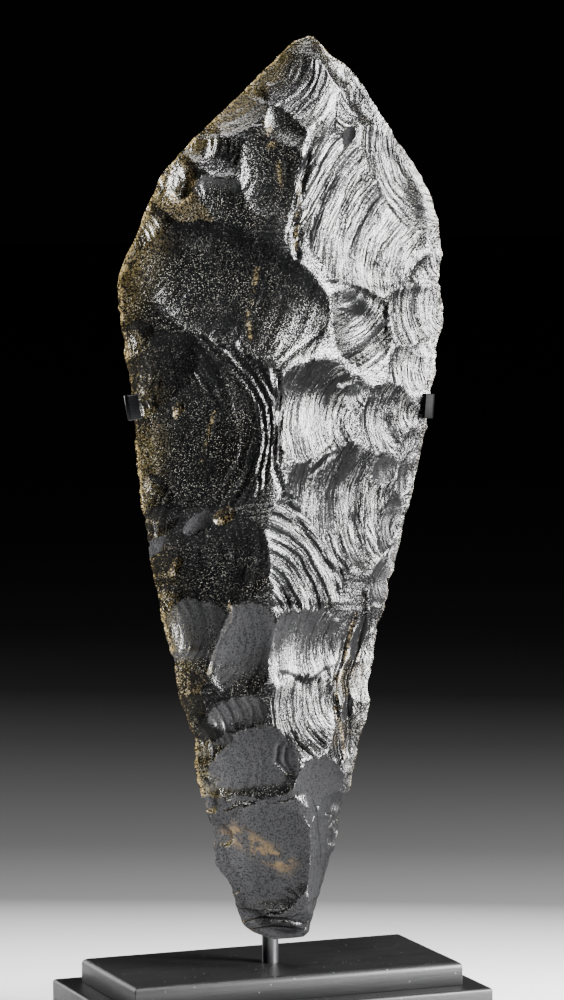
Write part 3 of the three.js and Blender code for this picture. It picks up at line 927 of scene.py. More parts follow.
@dataclass
class EdgeChips:
    """Small trimming flakes along one edge of one face, at an uneven pitch.

    Each pair of sizes is the smallest chip's and what the largest one adds to it.
    """

    edge: Edge
    seed: int
    pitch: float = 5.6
    low: float = 5.0
    high: float = 334.0
    half_lengths: tuple[float, float] = (2.6, 9.0)
    half_widths: tuple[float, float] = (2.0, 5.5)
    depths: tuple[float, float] = (0.9, 2.2)
    nick_half_widths: tuple[float, float] = (1.6, 4.0)
    nick_depths: tuple[float, float] = (0.3, 1.1)
    turn: float = 32.0
    ripple: float = 0.6

    def places(self) -> list[tuple[float, float]]:
        """Height and size of each chip.

        Returns:
            Pairs of height up the edge and size from 0 to 1.
        """
        chance = np.random.default_rng(self.seed)
        z = self.low
        found = []
        while z < self.high:
            found.append((z, float(chance.uniform(0.1, 1.0)) ** 2.4))
            z += self.pitch * float(chance.uniform(0.35, 1.9))
        return found

    @staticmethod
    def _sized(pair: tuple[float, float], size: float) -> float:
        """One of the pairs above for a chip's size from 0 to 1."""
        return pair[0] + pair[1] * size

    def nick(self, z: np.ndarray) -> np.ndarray:
        """How far the chips eat into the outline.

        Args:
            z: up the edge.

        Returns:
            Depth in millimetres.
        """
        fine = 0.75 * smooth_step(0.3, 1.0, cloud(z / 2.4, 0 * z, float(self.seed)))
        deepest = fine + 0.9 * smooth_step(0.35, 0.95, cloud(z / 9.0, 0 * z, self.seed + 0.5))
        for height, size in self.places():
            half = self._sized(self.nick_half_widths, size)
            bowl = np.maximum(0, 1 - ((z - height) / half) ** 2)
            deepest = np.maximum(deepest, self._sized(self.nick_depths, size) * bowl)
        return deepest

    def scars(self, outline: "Outline") -> list[FlakeScar]:
        """The chips as scars that run in from the edge.

        Args:
            outline: the chopper's outline.

        Returns:
            One scar for each chip.
        """
        made = []
        for index, (height, size) in enumerate(self.places()):
            z = np.array([height])
            x = float(outline.edge(self.edge, z)[0])
            half_length, half_width, depth = (
                self._sized(pair, size) for pair in (self.half_lengths, self.half_widths, self.depths))
            travel = self.edge.inward + self.turn * math.sin(1.9 * index + self.seed)
            middle = x - self.edge.value * 0.5 * half_length
            made.append(FlakeScar(middle, height, half_length, half_width, travel, depth, self.ripple))
        return made


@dataclass
class Outline:
    """The chopper's edges, crest and bulge as stations up its height."""

    left: Stations = (
        (0, -6), (4, -15.5), (8, -20), (20, -23), (31, -30), (46, -32.3), (54, -36), (66, -37.8), (76, -38.4),
        (98, -45.6), (128, -52), (155, -57.8), (172, -60.9), (198, -62.2), (205, -63.3), (212, -64.4),
        (225, -66.3), (240, -68.3), (250, -68.4), (259, -66.2), (283, -55.8), (292, -52), (297, -47.2),
        (315, -27), (334, -6), (341, 1.5), (343, 7),
    )
    right: Stations = (
        (0, 6.5), (2, 8.8), (15, 12.7), (28, 16), (36, 19.6), (47, 22), (56, 25.6), (68, 28.4), (80, 30.6),
        (88, 33), (96, 33.2), (110, 36.3), (117, 36.9), (123, 39.2), (149, 45), (158, 47.2), (167, 50.8),
        (180, 54.2), (190, 56.3), (197, 57.3), (203, 57.6), (209, 58.4), (215, 60), (226, 61.8), (237, 64.2),
        (251, 62.8), (259, 63.4), (270, 61.6), (283, 58.6), (293, 53.3), (304, 44.8), (317, 36.3),
        (331, 24.8), (335.8, 17), (338, 14.6), (343, 10),
    )
    crest_line: Stations = (
        (0, 1), (25, 5), (60, 1), (95, -8), (130, -12), (165, -13), (200, -11), (235, -8), (265, -3),
        (295, 1), (320, 8), (343, 8.5),
    )
    bulge_share: Stations = (
        (0, 0), (5, 0.42), (12, 0.52), (60, 0.64), (110, 0.82), (170, 1), (235, 1), (290, 0.82), (318, 0.55),
        (335, 0.27), (343, 0),
    )
    height: float = 343.0
    crest_sharpness: float = 1.45
    crest_softness: float = 0.07
    wander_reach: float = 1.1
    wander_wave: float = 61.0
    wander_turn: float = 2.1

    def edge(self, side: Edge, z: np.ndarray) -> np.ndarray:
        """The edge's x at each height."""
        return smooth_through(self.left if side is Edge.LEFT else self.right, z)

    def crest(self, z: np.ndarray) -> np.ndarray:
        """The crest's x at each height."""
        return smooth_through(self.crest_line, z)

    def share_across(self, x: np.ndarray, z: np.ndarray) -> np.ndarray:
        """How far points lie from the crest.

        Args:
            x: across the face.
            z: up the face.

        Returns:
            Shares from -1 at the left edge to 1 at the right edge.
        """
        crest = self.crest(z)
        room = np.where(x < crest, crest - self.edge(Edge.LEFT, z), self.edge(Edge.RIGHT, z) - crest)
        return np.clip((x - crest) / np.maximum(room, 1e-6), -1.0, 1.0)

    def lens(self, bulge: float, share: np.ndarray, z: np.ndarray) -> np.ndarray:
        """The uncut face above the plane of the edges.

        Args:
            bulge: full height of the face.
            share: how far across, from -1 to 1.
            z: up the face.

        Returns:
            Height in millimetres.
        """
        soft = self.crest_softness
        fall = (share ** 2 + soft ** 2) ** (self.crest_sharpness / 2) - soft ** self.crest_sharpness
        fall = fall / ((1 + soft ** 2) ** (self.crest_sharpness / 2) - soft ** self.crest_sharpness)
        return bulge * smooth_through(self.bulge_share, z) * (1 - fall)

    def wander(self, share: np.ndarray, z: np.ndarray) -> np.ndarray:
        """How far the edge snakes to front and back."""
        phase = 2 * math.pi * z / self.wander_wave + np.where(share > 0, self.wander_turn, 0.0)
        return self.wander_reach * np.sin(phase) * np.abs(share) ** 3


@dataclass(eq=False)
class FlakedFace:
    """One face of the chopper: a lens cut by scars, the deepest of which wins.

    Each warp, which makes the scars' rims uneven, is a reach and a size in millimetres.
    """

    side: Side
    bulge: float
    scars: list[FlakeScar]
    outline: Outline
    grooves: tuple = ()
    rolls: tuple = ()
    honey_lines: tuple = ()
    least_share: float = 0.4
    broad_warp: tuple[float, float] = (2.6, 15.0)
    fine_warp: tuple[float, float] = (1.1, 5.5)
    warp_keys: tuple[float, float] = (21.0, 33.0)

    def cuts(self, x: np.ndarray, z: np.ndarray) -> dict[str, np.ndarray]:
        """The deepest scar at each point, and the way to the next.

        Args:
            x: across the face.
            z: up the face.

        Returns:
            The deepest cut, the number of its scar (-1 where uncut), the distance to the nearest ridge and
            the way there as a unit vector.
        """
        x, z = self._warped(x, z)
        shape = x.shape
        first, second = np.zeros(shape), np.full(shape, 50.0)
        number = np.full(shape, -1)
        slope = {"first": np.zeros((2, *shape)), "second": np.zeros((2, *shape))}
        for index, scar in enumerate(self.scars):
            value = scar.surface(x, z)
            c, s = scar.along
            u, v = scar.frame_at(x, z)
            du, dv = 2 * scar.depth * u / scar.half_length, 2 * scar.depth * v / scar.half_width
            grade = np.stack((du * c - dv * s, du * s + dv * c))
            wins = value < first
            runs_up = ~wins & (value < second)
            second = np.where(wins, first, np.where(runs_up, value, second))
            slope["second"] = np.where(wins, slope["first"], np.where(runs_up, grade, slope["second"]))
            first = np.where(wins, value, first)
            slope["first"] = np.where(wins, grade, slope["first"])
            number = np.where(wins, index, number)
        for points, half_width, depth in self.grooves:
            first = first - depth * np.exp(-(near_line(points, x, z) / half_width) ** 2)
        for points, reach, drop in self.rolls:
            apart = near_line(points, x, z)
            first = first - drop * np.maximum(0.0, 1 - np.abs(apart) / np.where(apart > 0, reach, 0.9))
        bend = slope["second"] - slope["first"]
        steep = np.maximum(np.hypot(bend[0], bend[1]), 1e-4)
        to_ridge = np.maximum(second - first, 0.0) / steep
        return {"cut": first, "scar": number, "to_ridge": to_ridge, "way": -bend / steep}

    def _warped(self, x: np.ndarray, z: np.ndarray) -> tuple[np.ndarray, np.ndarray]:
        """Shifts points a little to and fro, so that scars have uneven rims.

        Args:
            x: across the face.
            z: up the face.

        Returns:
            The shifted x and z.
        """
        (broad, wide), (fine, small) = self.broad_warp, self.fine_warp
        over, up = (broad * cloud(x / wide, z / wide, key) + fine * cloud(x / small, z / small, key + 1)
                    - (broad + fine) / 2 for key in self.warp_keys)
        return x + over, z + up

    def honey(self, x: np.ndarray, z: np.ndarray, number: np.ndarray) -> np.ndarray:
        """Share of honey colour: whole small scars and thin broken lines.

        Args:
            x: across the face.
            z: up the face.
            number: the scar that each point belongs to, -1 where uncut.

        Returns:
            Shares from 0 to 1.
        """
        share = np.array([scar.gold for scar in self.scars] + [0.0])[number]
        broken = smooth_step(0.3, 0.6, cloud(x / 1.7, z / 1.7, 3.0))
        for points, half_width, strength in self.honey_lines:
            line = strength * np.exp(-(near_line(points, x, z) / half_width) ** 2)
            share = np.maximum(share, line * broken)
        return share

    def height(self, share: np.ndarray, z: np.ndarray, cut: np.ndarray) -> np.ndarray:
        """The face after its flakes; the cut fades out where the lens thins to an edge.

        Args:
            share: how far across, from -1 to 1.
            z: up the face.
            cut: depth of the deepest scar, below 0.

        Returns:
            Height above the plane of the edges in millimetres.
        """
        full = self.outline.lens(self.bulge, share, z)
        free = np.maximum((1 - self.least_share) * full, 1e-6)
        return full - free + free * np.exp(cut / free)


@dataclass
class HiddenFlakes:
    """Flakes of the hidden face: broad ones struck in turn from both edges, and smaller trimming.

    Sizes are in millimetres, angles in degrees. Reaches and places are shares of the way from the crest to
    the edge, trimming widths are shares of the flake's length, and a pair is the range of a random draw.
    """

    outline: Outline
    first: float = 24.0
    pitch: float = 41.0
    right_lag: float = 0.45
    count: int = 8
    reach: float = 0.64
    half_width: float = 25.0
    depth: float = 3.0
    least_depth: float = 0.2
    sway: float = 9.0
    trim_first: float = 18.0
    trim_last: float = 325.0
    trim_pitch: float = 19.0
    trim_seed: int = 5
    trim_shift: float = 5.0
    trim_reaches: tuple[float, float] = (0.26, 0.5)
    trim_places: tuple[float, float] = (0.45, 0.85)
    trim_turn: float = 38.0
    trim_depths: tuple[float, float] = (2.4, 3.6)
    trim_widths: tuple[float, float] = (0.6, 1.2)
    trim_ripples: tuple[float, float] = (0.1, 0.7)

    def _spot(self, edge: Edge, height: float) -> tuple[float, float, float]:
        """The blade at one height.

        Args:
            edge: which edge to read.
            height: height up the blade.

        Returns:
            The crest's x, the edge's x and the share of the full bulge.
        """
        z = np.array([height])
        crest, rim = self.outline.crest(z), self.outline.edge(edge, z)
        bulge = smooth_through(self.outline.bulge_share, z)
        return float(crest[0]), float(rim[0]), float(bulge[0])

    def broad(self) -> list[FlakeScar]:
        """Broad flakes, struck in turn from both edges.

        Returns:
            One scar for each flake.
        """
        made = []
        for i in range(self.count):
            for edge in (Edge.LEFT, Edge.RIGHT):
                side = edge.value
                height = self.first + self.pitch * (i + (self.right_lag if edge is Edge.RIGHT else 0.0))
                crest, rim, bulge = self._spot(edge, height)
                sway = math.sin(2.3 * i + side)
                room = abs(rim - crest)
                travel = edge.inward + self.sway * sway
                x = crest + side * room * (0.5 + 0.06 * sway)
                made.append(FlakeScar(x, height, self.reach * room, self.half_width, travel,
                                      max(self.depth * bulge, self.least_depth), 0.35 + 0.2 * sway))
        return made

    def trimming(self) -> list[FlakeScar]:
        """Smaller flakes, scattered over the broad ones.

        Returns:
            One scar for each flake.
        """
        chance = np.random.default_rng(self.trim_seed)
        made = []
        for level in np.arange(self.trim_first, self.trim_last, self.trim_pitch):
            for edge in Edge:
                height = float(level + chance.uniform(-self.trim_shift, self.trim_shift))
                crest, rim, bulge = self._spot(edge, height)
                length = abs(rim - crest) * chance.uniform(*self.trim_reaches)
                x = crest + (rim - crest) * chance.uniform(*self.trim_places)
                travel = edge.inward + chance.uniform(-self.trim_turn, self.trim_turn)
                depth = chance.uniform(*self.trim_depths) * bulge
                width = length * chance.uniform(*self.trim_widths)
                ripple = chance.uniform(*self.trim_ripples)
                made.append(FlakeScar(x, height, length, width, travel, depth, ripple))
        return made


@dataclass
class Chopper:
    """The leaf-shaped obsidian blade, flaked on both faces.

    A pair is where a smooth change starts and ends: tilts are the upward part of the surface's normal,
    heights are up the blade, and relief is above the plane of the edges.
    """

    place: Place = (-1.3, -21.175, 39.7)
    front_bulge: float = 16.0
    back_bulge: float = 12.5
    rows: int = 428
    front_columns: int = 150
    end_crowding: float = 0.35
    snap_share: float = 0.45
    fixed_rim: int = 3
    chip_seed: int = 11
    crease_deg: float = 38.0
    thin_depth: float = 4.0
    hood_tilts: tuple[float, float] = (-0.01, -0.17)
    butt_heights: tuple[float, float] = (66.0, 54.0)
    foot_heights: tuple[float, float] = (24.0, 16.0)
    tip_heights: tuple[float, float] = (295.0, 305.0)
    relief_heights: tuple[float, float] = (1.2, 4.5)
    relief_limit: float = 4.0
    calm_foot: float = 6.0
    calm_tip: float = 8.0
    bare_ridge: float = 0.45
    bare_patch: float = 4.0
    map_shift: float = 13.7
    outline: Outline = field(default_factory=Outline)
    finish: ObsidianFinish = field(default_factory=ObsidianFinish)

    def _grid(self, face: FlakedFace, columns: int, nicks: dict[Edge, np.ndarray],
              heights: np.ndarray) -> dict[str, np.ndarray]:
        """Points of one face in rows and columns, drawn onto the ridges between scars.

        Args:
            face: the face.
            columns: number of columns.
            nicks: how far the outline is eaten at each row, for both edges.
            heights: height of each row.

        Returns:
            x, z, share across and height of each point.
        """
        share = np.tile(np.linspace(-1, 1, columns + 1), (len(heights), 1))
        z = np.tile(heights[:, None], (1, columns + 1))
        crest = self.outline.crest(heights)[:, None]
        left = (self.outline.edge(Edge.LEFT, heights) + nicks[Edge.LEFT])[:, None]
        right = (self.outline.edge(Edge.RIGHT, heights) - nicks[Edge.RIGHT])[:, None]
        x = crest + np.where(share < 0, share * (crest - left), share * (right - crest))
        found = face.cuts(x, z)
        spacing = np.minimum((right - left) / columns, self.outline.height / self.rows)
        near = found["to_ridge"] < self.snap_share * spacing
        inner = np.zeros_like(near)
        inner[self.fixed_rim:-self.fixed_rim, self.fixed_rim:-self.fixed_rim] = True
        move = np.where(near & inner, found["to_ridge"], 0.0) * found["way"]
        x, z = x + move[0], z + move[1]
        height = face.height(share, z, face.cuts(x, z)["cut"])
        height[[0, -1]] = 0.0
        height[:, [0, -1]] = 0.0
        return {"x": x, "z": z, "share": share, "height": height}

    def _mesh(self, front: dict[str, np.ndarray],
              back: dict[str, np.ndarray]) -> tuple[np.ndarray, list[list[int]], int]:
        """Joins both grids into one closed skin that shares the points of the rim.

        Args:
            front: the worked face's grid.
            back: the hidden face's grid, with half as many columns.

        Returns:
            Vertices in millimetres, faces, and the number of faces on the worked side.
        """
        rows, columns = front["x"].shape
        index = np.arange(rows * columns).reshape(rows, columns)
        back_index = index[:, ::2].copy()
        inside = np.zeros(back_index.shape, dtype=bool)
        inside[1:-1, 1:-1] = True
        back_index[inside] = rows * columns + np.arange(int(inside.sum()))
        points = []
        for grid, face_side, mask in ((front, Side.WORKED, None), (back, Side.HIDDEN, inside)):
            y = self.outline.wander(grid["share"], grid["z"]) + face_side.value * grid["height"]
            corners = np.stack((grid["x"], y, grid["z"]), axis=-1)
            points.append(corners.reshape(-1, 3) if mask is None else corners[mask])
        quads = np.stack((index[:-1, :-1], index[:-1, 1:], index[1:, 1:], index[1:, :-1]), -1)
        faces = quads.reshape(-1, 4).tolist()
        front_faces = len(faces)
        body = back_index[1:-1]
        quads = np.stack((body[:-1, :-1], body[1:, :-1], body[1:, 1:], body[:-1, 1:]), -1)
        faces += quads.reshape(-1, 4).tolist()
        for j in range(back_index.shape[1] - 1):
            low, high = back_index[1], back_index[-2]
            a, b, c = index[0, 2 * j: 2 * j + 3].tolist()
            faces += [[low[j], low[j + 1], b], [a, low[j], b], [b, low[j + 1], c]]
            a, b, c = index[-1, 2 * j: 2 * j + 3].tolist()
            faces += [[high[j], b, high[j + 1]], [a, b, high[j]], [b, c, high[j + 1]]]
        faces = [[int(i) for i in dict.fromkeys(face)] for face in faces]
        return np.concatenate(points), [face for face in faces if len(face) > 2], front_faces

    def build(self) -> bpy.types.Object:
        """Builds the blade's mesh with its attributes and dresses it.

        Returns:
            The chopper's object.
        """
        chips = {(side, edge): EdgeChips(edge, self.chip_seed + 7 * side.value + edge.value)
                 for side in Side for edge in Edge}
        worked_scars = [FlakeScar(*row) for row in RIGHT_SCARS + LEFT_SCARS]
        flakes = HiddenFlakes(self.outline)
        hidden_scars = flakes.broad() + flakes.trimming()
        for edge in Edge:
            worked_scars += chips[Side.WORKED, edge].scars(self.outline)
            hidden_scars += chips[Side.HIDDEN, edge].scars(self.outline)
        tip = self.outline.height
        even = np.linspace(0, 1, self.rows + 1)
        heights = tip * (even + self.end_crowding * (0.5 - 0.5 * np.cos(np.pi * even) - even))
        calm = smooth_step(0, self.calm_foot, heights) * smooth_step(tip, tip - self.calm_tip, heights)
        nicks = {edge: chips[Side.WORKED, edge].nick(heights) * calm for edge in Edge}
        worked = FlakedFace(Side.WORKED, self.front_bulge, worked_scars, self.outline,
                            GROOVES, ROLLS, HONEY_LINES)
        hidden = FlakedFace(Side.HIDDEN, self.back_bulge, hidden_scars, self.outline)
        front = self._grid(worked, self.front_columns, nicks, heights)
        back = self._grid(hidden, self.front_columns // 2, nicks, heights)
        points, faces, front_faces = self._mesh(front, back)
        mesh = bpy.data.meshes.new("obsidian_chopper")
        mesh.from_pydata(((points + np.array(self.place)) * MM).tolist(), [], faces)
        self._paint(mesh, points, front_faces, worked, hidden)
        return new_piece("chopper_blade", mesh, self.finish.material(), "obsidian_chopper",
                         self.crease_deg)

    def _paint(self, mesh: bpy.types.Mesh, points: np.ndarray, front_faces: int, worked: FlakedFace,
               hidden: FlakedFace) -> None:
        """Writes the values that the finish reads at each vertex, and the streaks' own map.

        Args:
            mesh: the blade's mesh.
            points: its vertices in millimetres.
            front_faces: how many of its first faces are on the worked side.
            worked: the worked face.
            hidden: the hidden face.
        """
        x, _, z = points.T
        share = self.outline.share_across(x, z)
        looks = {face: face.cuts(x, z) for face in (worked, hidden)}
        thick = sum(face.height(share, z, found["cut"]) for face, found in looks.items())
        tilt = np.array([normal.vector.z for normal in mesh.vertex_normals])
        loops = np.array([loop.vertex_index for loop in mesh.loops])
        totals = np.array([face.loop_total for face in mesh.polygons])
        front_loops = np.repeat(np.arange(len(totals)), totals) < front_faces
        on_front = np.zeros(len(points), dtype=bool)
        on_front[loops[front_loops]] = True
        # Painted shade in the upper hood of each scar, rising as the surface tilts down, weaker towards the
        # right edge.
        hood = smooth_step(*self.hood_tilts, tilt) * (1 - 0.6 * smooth_step(0.35, 0.7, share))
        values = {"thin": np.exp(-thick / self.thin_depth), "flow": 0.0, "matte": 0.0, "relief": 0.0,
                  "hood": hood, "gold": 0.0}
        uv = np.zeros((len(loops), 2))
        for face, mine, mine_loops in ((worked, on_front, front_loops), (hidden, ~on_front, ~front_loops)):
            for name, value in self._looks(face, looks[face], x, z, share, tilt).items():
                values[name] = np.where(mine, value, values[name])
            uv = np.where(mine_loops[:, None], self._streak_map(face, x[loops], z[loops], totals), uv)
        for name, value in values.items():
            store = mesh.attributes.new(name, "FLOAT", "POINT")
            store.data.foreach_set("value", value.astype(np.float32))
        layer = mesh.uv_layers.new(name="flake_uv")
        layer.data.foreach_set("uv", uv.astype(np.float32).ravel())

    def _looks(self, face: FlakedFace, found: dict[str, np.ndarray], x: np.ndarray, z: np.ndarray,
               share: np.ndarray, tilt: np.ndarray) -> dict[str, np.ndarray]:
        """The finish's values on one face.

        Args:
            face: the face.
            found: its cuts at the points.
            x: across the face.
            z: up the face.
            share: how far across, from -1 to 1.
            tilt: upward part of the surface's normal.

        Returns:
            Strength of the streaks, share of the dull weathered layer, which is partly painted light, relief
            lost at the thin edge, and honey colour.
        """
        full = self.outline.lens(face.bulge, share, z)
        lost = found["cut"] + full - face.height(share, z, found["cut"])
        lost = np.clip(lost, -self.relief_limit, 0.0)
        flows = np.array([scar.ripple for scar in face.scars] + [0.4])
        mattes = np.array([scar.matte for scar in face.scars] + [0.0])
        butt = 0.0
        if face.side is Side.WORKED:
            butt = smooth_step(*self.butt_heights, z) * (1 - 0.3 * smooth_step(0.2, 0.7, share))
        # Painted reflection: away from the right half and the tip, the dull layer stays only on facets that
        # face down or level, where it stands in for the pale floor's reflection.
        exempt = smooth_step(0.0, 0.15, share) + smooth_step(*self.tip_heights, z)
        faces_down_painted_reflection = np.maximum(smooth_step(0.17, -0.03, tilt), exempt)
        patchy = smooth_step(0.35, 0.75, cloud(x / self.bare_patch, z / self.bare_patch, 8.0))
        bare = np.exp(-(found["to_ridge"] / self.bare_ridge) ** 2) * patchy
        for line, half_width, _ in face.grooves:
            groove = np.exp(-(near_line(line, x, z) / half_width) ** 2)
            bare = np.maximum(bare, groove * smooth_step(*self.foot_heights, z))
        return {
            "flow": flows[found["scar"]],
            "matte": np.maximum(mattes[found["scar"]], 0.95 * butt) * faces_down_painted_reflection * (1 - bare),
            "relief": lost * smooth_step(*self.relief_heights, full),
            "gold": face.honey(x, z, found["scar"]),
        }

    def _streak_map(self, face: FlakedFace, x: np.ndarray, z: np.ndarray, totals: np.ndarray) -> np.ndarray:
        """The streaks' own map: distance from the blow and arc round it, one scar for each polygon.

        The last row of the blows is for uncut polygons, whose streaks run round a point below the butt.

        Args:
            face: the face.
            x: across the face, at each polygon corner.
            z: up the face, at each polygon corner.
            totals: number of corners of each polygon.

        Returns:
            Two map values for each corner.
        """
        starts = np.cumsum(totals) - totals
        centre_x = np.add.reduceat(x, starts) / totals
        centre_z = np.add.reduceat(z, starts) / totals
        number = np.repeat(face.cuts(centre_x, centre_z)["scar"], totals)
        blows = np.array([(*scar.blow, *scar.spread, scar.half_length) for scar in face.scars]
                         + [(0.0, -60.0, 0.0, 1.0, 60.0)])
        bx, bz, c, s, length = blows[number].T
        dx, dz = x - bx, z - bz
        turn = np.arctan2(dz * c - dx * s, dx * c + dz * s)
        own = np.stack((np.hypot(dx, dz), turn * length * ARC_SCALE), axis=-1)
        return own + self.map_shift * number[:, None]


# The stand


@dataclass
class SupportRod:
    """The upright rod: a turned bar with eased ends."""

    x: float = -2.0
    y: float = -3.5
    radius: float = 3.175
    low: float = 8.3
    high: float = 263.9
    ease: float = 0.6
    sides: int = 56
    levels: int = 8
    ease_steps: int = 4
    crease_deg: float = 40.0

    def build(self, material: bpy.types.Material) -> bpy.types.Object:
        """Builds and dresses the rod.

        Args:
            material: the rod's finish.

        Returns:
            The rod's object.
        """
        bm = bmesh.new()
        steps = [(self.radius - self.ease, self.low), (self.radius, self.low + self.ease)]
        rise = (self.high - self.low) / self.levels
        steps += [(self.radius, self.low + rise * i) for i in range(1, self.levels)]
        for i in range(self.ease_steps + 1):
            angle = math.pi / 2 * i / self.ease_steps
            steps.append((self.radius - self.ease * (1 - math.cos(angle)),
                          self.high - self.ease * (1 - math.sin(angle))))
        rings = [circle(bm, (self.x, self.y, z), radius, self.sides) for radius, z in steps]
        for below, above in zip(rings, rings[1:]):
            skirt(bm, below, above)
        bm.faces.new(rings[0][::-1])
        bm.faces.new(rings[-1])
        mesh = finished_mesh("support_rod", bm)
        return new_piece("upright_rod", mesh, material, "support_rod", self.crease_deg)


@dataclass
class BaseTier:
    """One tier of the base: a mitred block with its top edge rounded over and a bore for the rod."""

    name: str
    node: str
    rod: SupportRod
    length: float
    depth: float
    low: float
    height: float
    round_over: float
    bore_low: float
    bore_gap: float = 0.3
    corner: float = 0.55
    corner_steps: int = 3
    round_steps: int = 9
    bore_sides: int = 48
    foot_ease: float = 0.25
    flat_margin: float = 0.4
    crease_deg: float = 50.0
    finish: SatinPaintFinish = field(default_factory=SatinPaintFinish)

    def _ring(self, bm: bmesh.types.BMesh, inset: float, z: float) -> list[bmesh.types.BMVert]:
        """One level of the block: a rectangle with slightly eased corners.

        Args:
            bm: the mesh being made.
            inset: how far in from the full size.
            z: height of the level.

        Returns:
            The level's vertices, counter-clockwise from above.
        """
        made = []
        half = (self.length / 2 - inset - self.corner, self.depth / 2 - inset - self.corner)
        for turn, (sx, sy) in enumerate(((1, 1), (-1, 1), (-1, -1), (1, -1))):
            for step in range(self.corner_steps + 1):
                angle = math.pi / 2 * (turn + step / self.corner_steps)
                x = sx * half[0] + self.corner * math.cos(angle)
                y = sy * half[1] + self.corner * math.sin(angle)
                made.append(bm.verts.new((x * MM, y * MM, z * MM)))
        return made

    @staticmethod
    def _plate(bm: bmesh.types.BMesh, rims: Iterable[list]) -> None:
        """Fills a flat face between its rims.

        Args:
            bm: the mesh being made.
            rims: the rings of vertices that bound the face.
        """
        edges = []
        for rim in rims:
            for i, vert in enumerate(rim):
                pair = (vert, rim[(i + 1) % len(rim)])
                edges.append(bm.edges.get(pair) or bm.edges.new(pair))
        bmesh.ops.triangle_fill(bm, use_beauty=True, use_dissolve=False, edges=edges)

    def build(self) -> bpy.types.Object:
        """Builds and dresses the tier.

        Returns:
            The tier's object.
        """
        bm = bmesh.new()
        top = self.low + self.height
        levels = [(self.foot_ease, self.low), (0.0, self.low + self.foot_ease),
                  (0.0, top - self.round_over - self.flat_margin)]
        for step in range(self.round_steps + 1):
            angle = math.pi / 2 * step / self.round_steps
            inset = self.round_over * (1 - math.cos(angle))
            levels.append((inset, top - self.round_over * (1 - math.sin(angle))))
        levels.append((self.round_over + self.flat_margin, top))
        rings = [self._ring(bm, inset, z) for inset, z in levels]
        for below, above in zip(rings, rings[1:]):
            skirt(bm, below, above)
        bore_top, bore_end = (
            circle(bm, (self.rod.x, self.rod.y, z), self.rod.radius + self.bore_gap, self.bore_sides)
            for z in (top, self.bore_low))
        skirt(bm, bore_top, bore_end)
        through = abs(self.bore_low - self.low) < 1e-6
        self._plate(bm, (rings[-1], bore_top))
        self._plate(bm, (rings[0], bore_end) if through else (rings[0],))
        if not through:
            bm.faces.new(bore_end)
        bmesh.ops.recalc_face_normals(bm, faces=bm.faces[:])
        mesh = finished_mesh(self.name, bm)
        return new_piece(self.name, mesh, self.finish.material(), self.node, self.crease_deg)


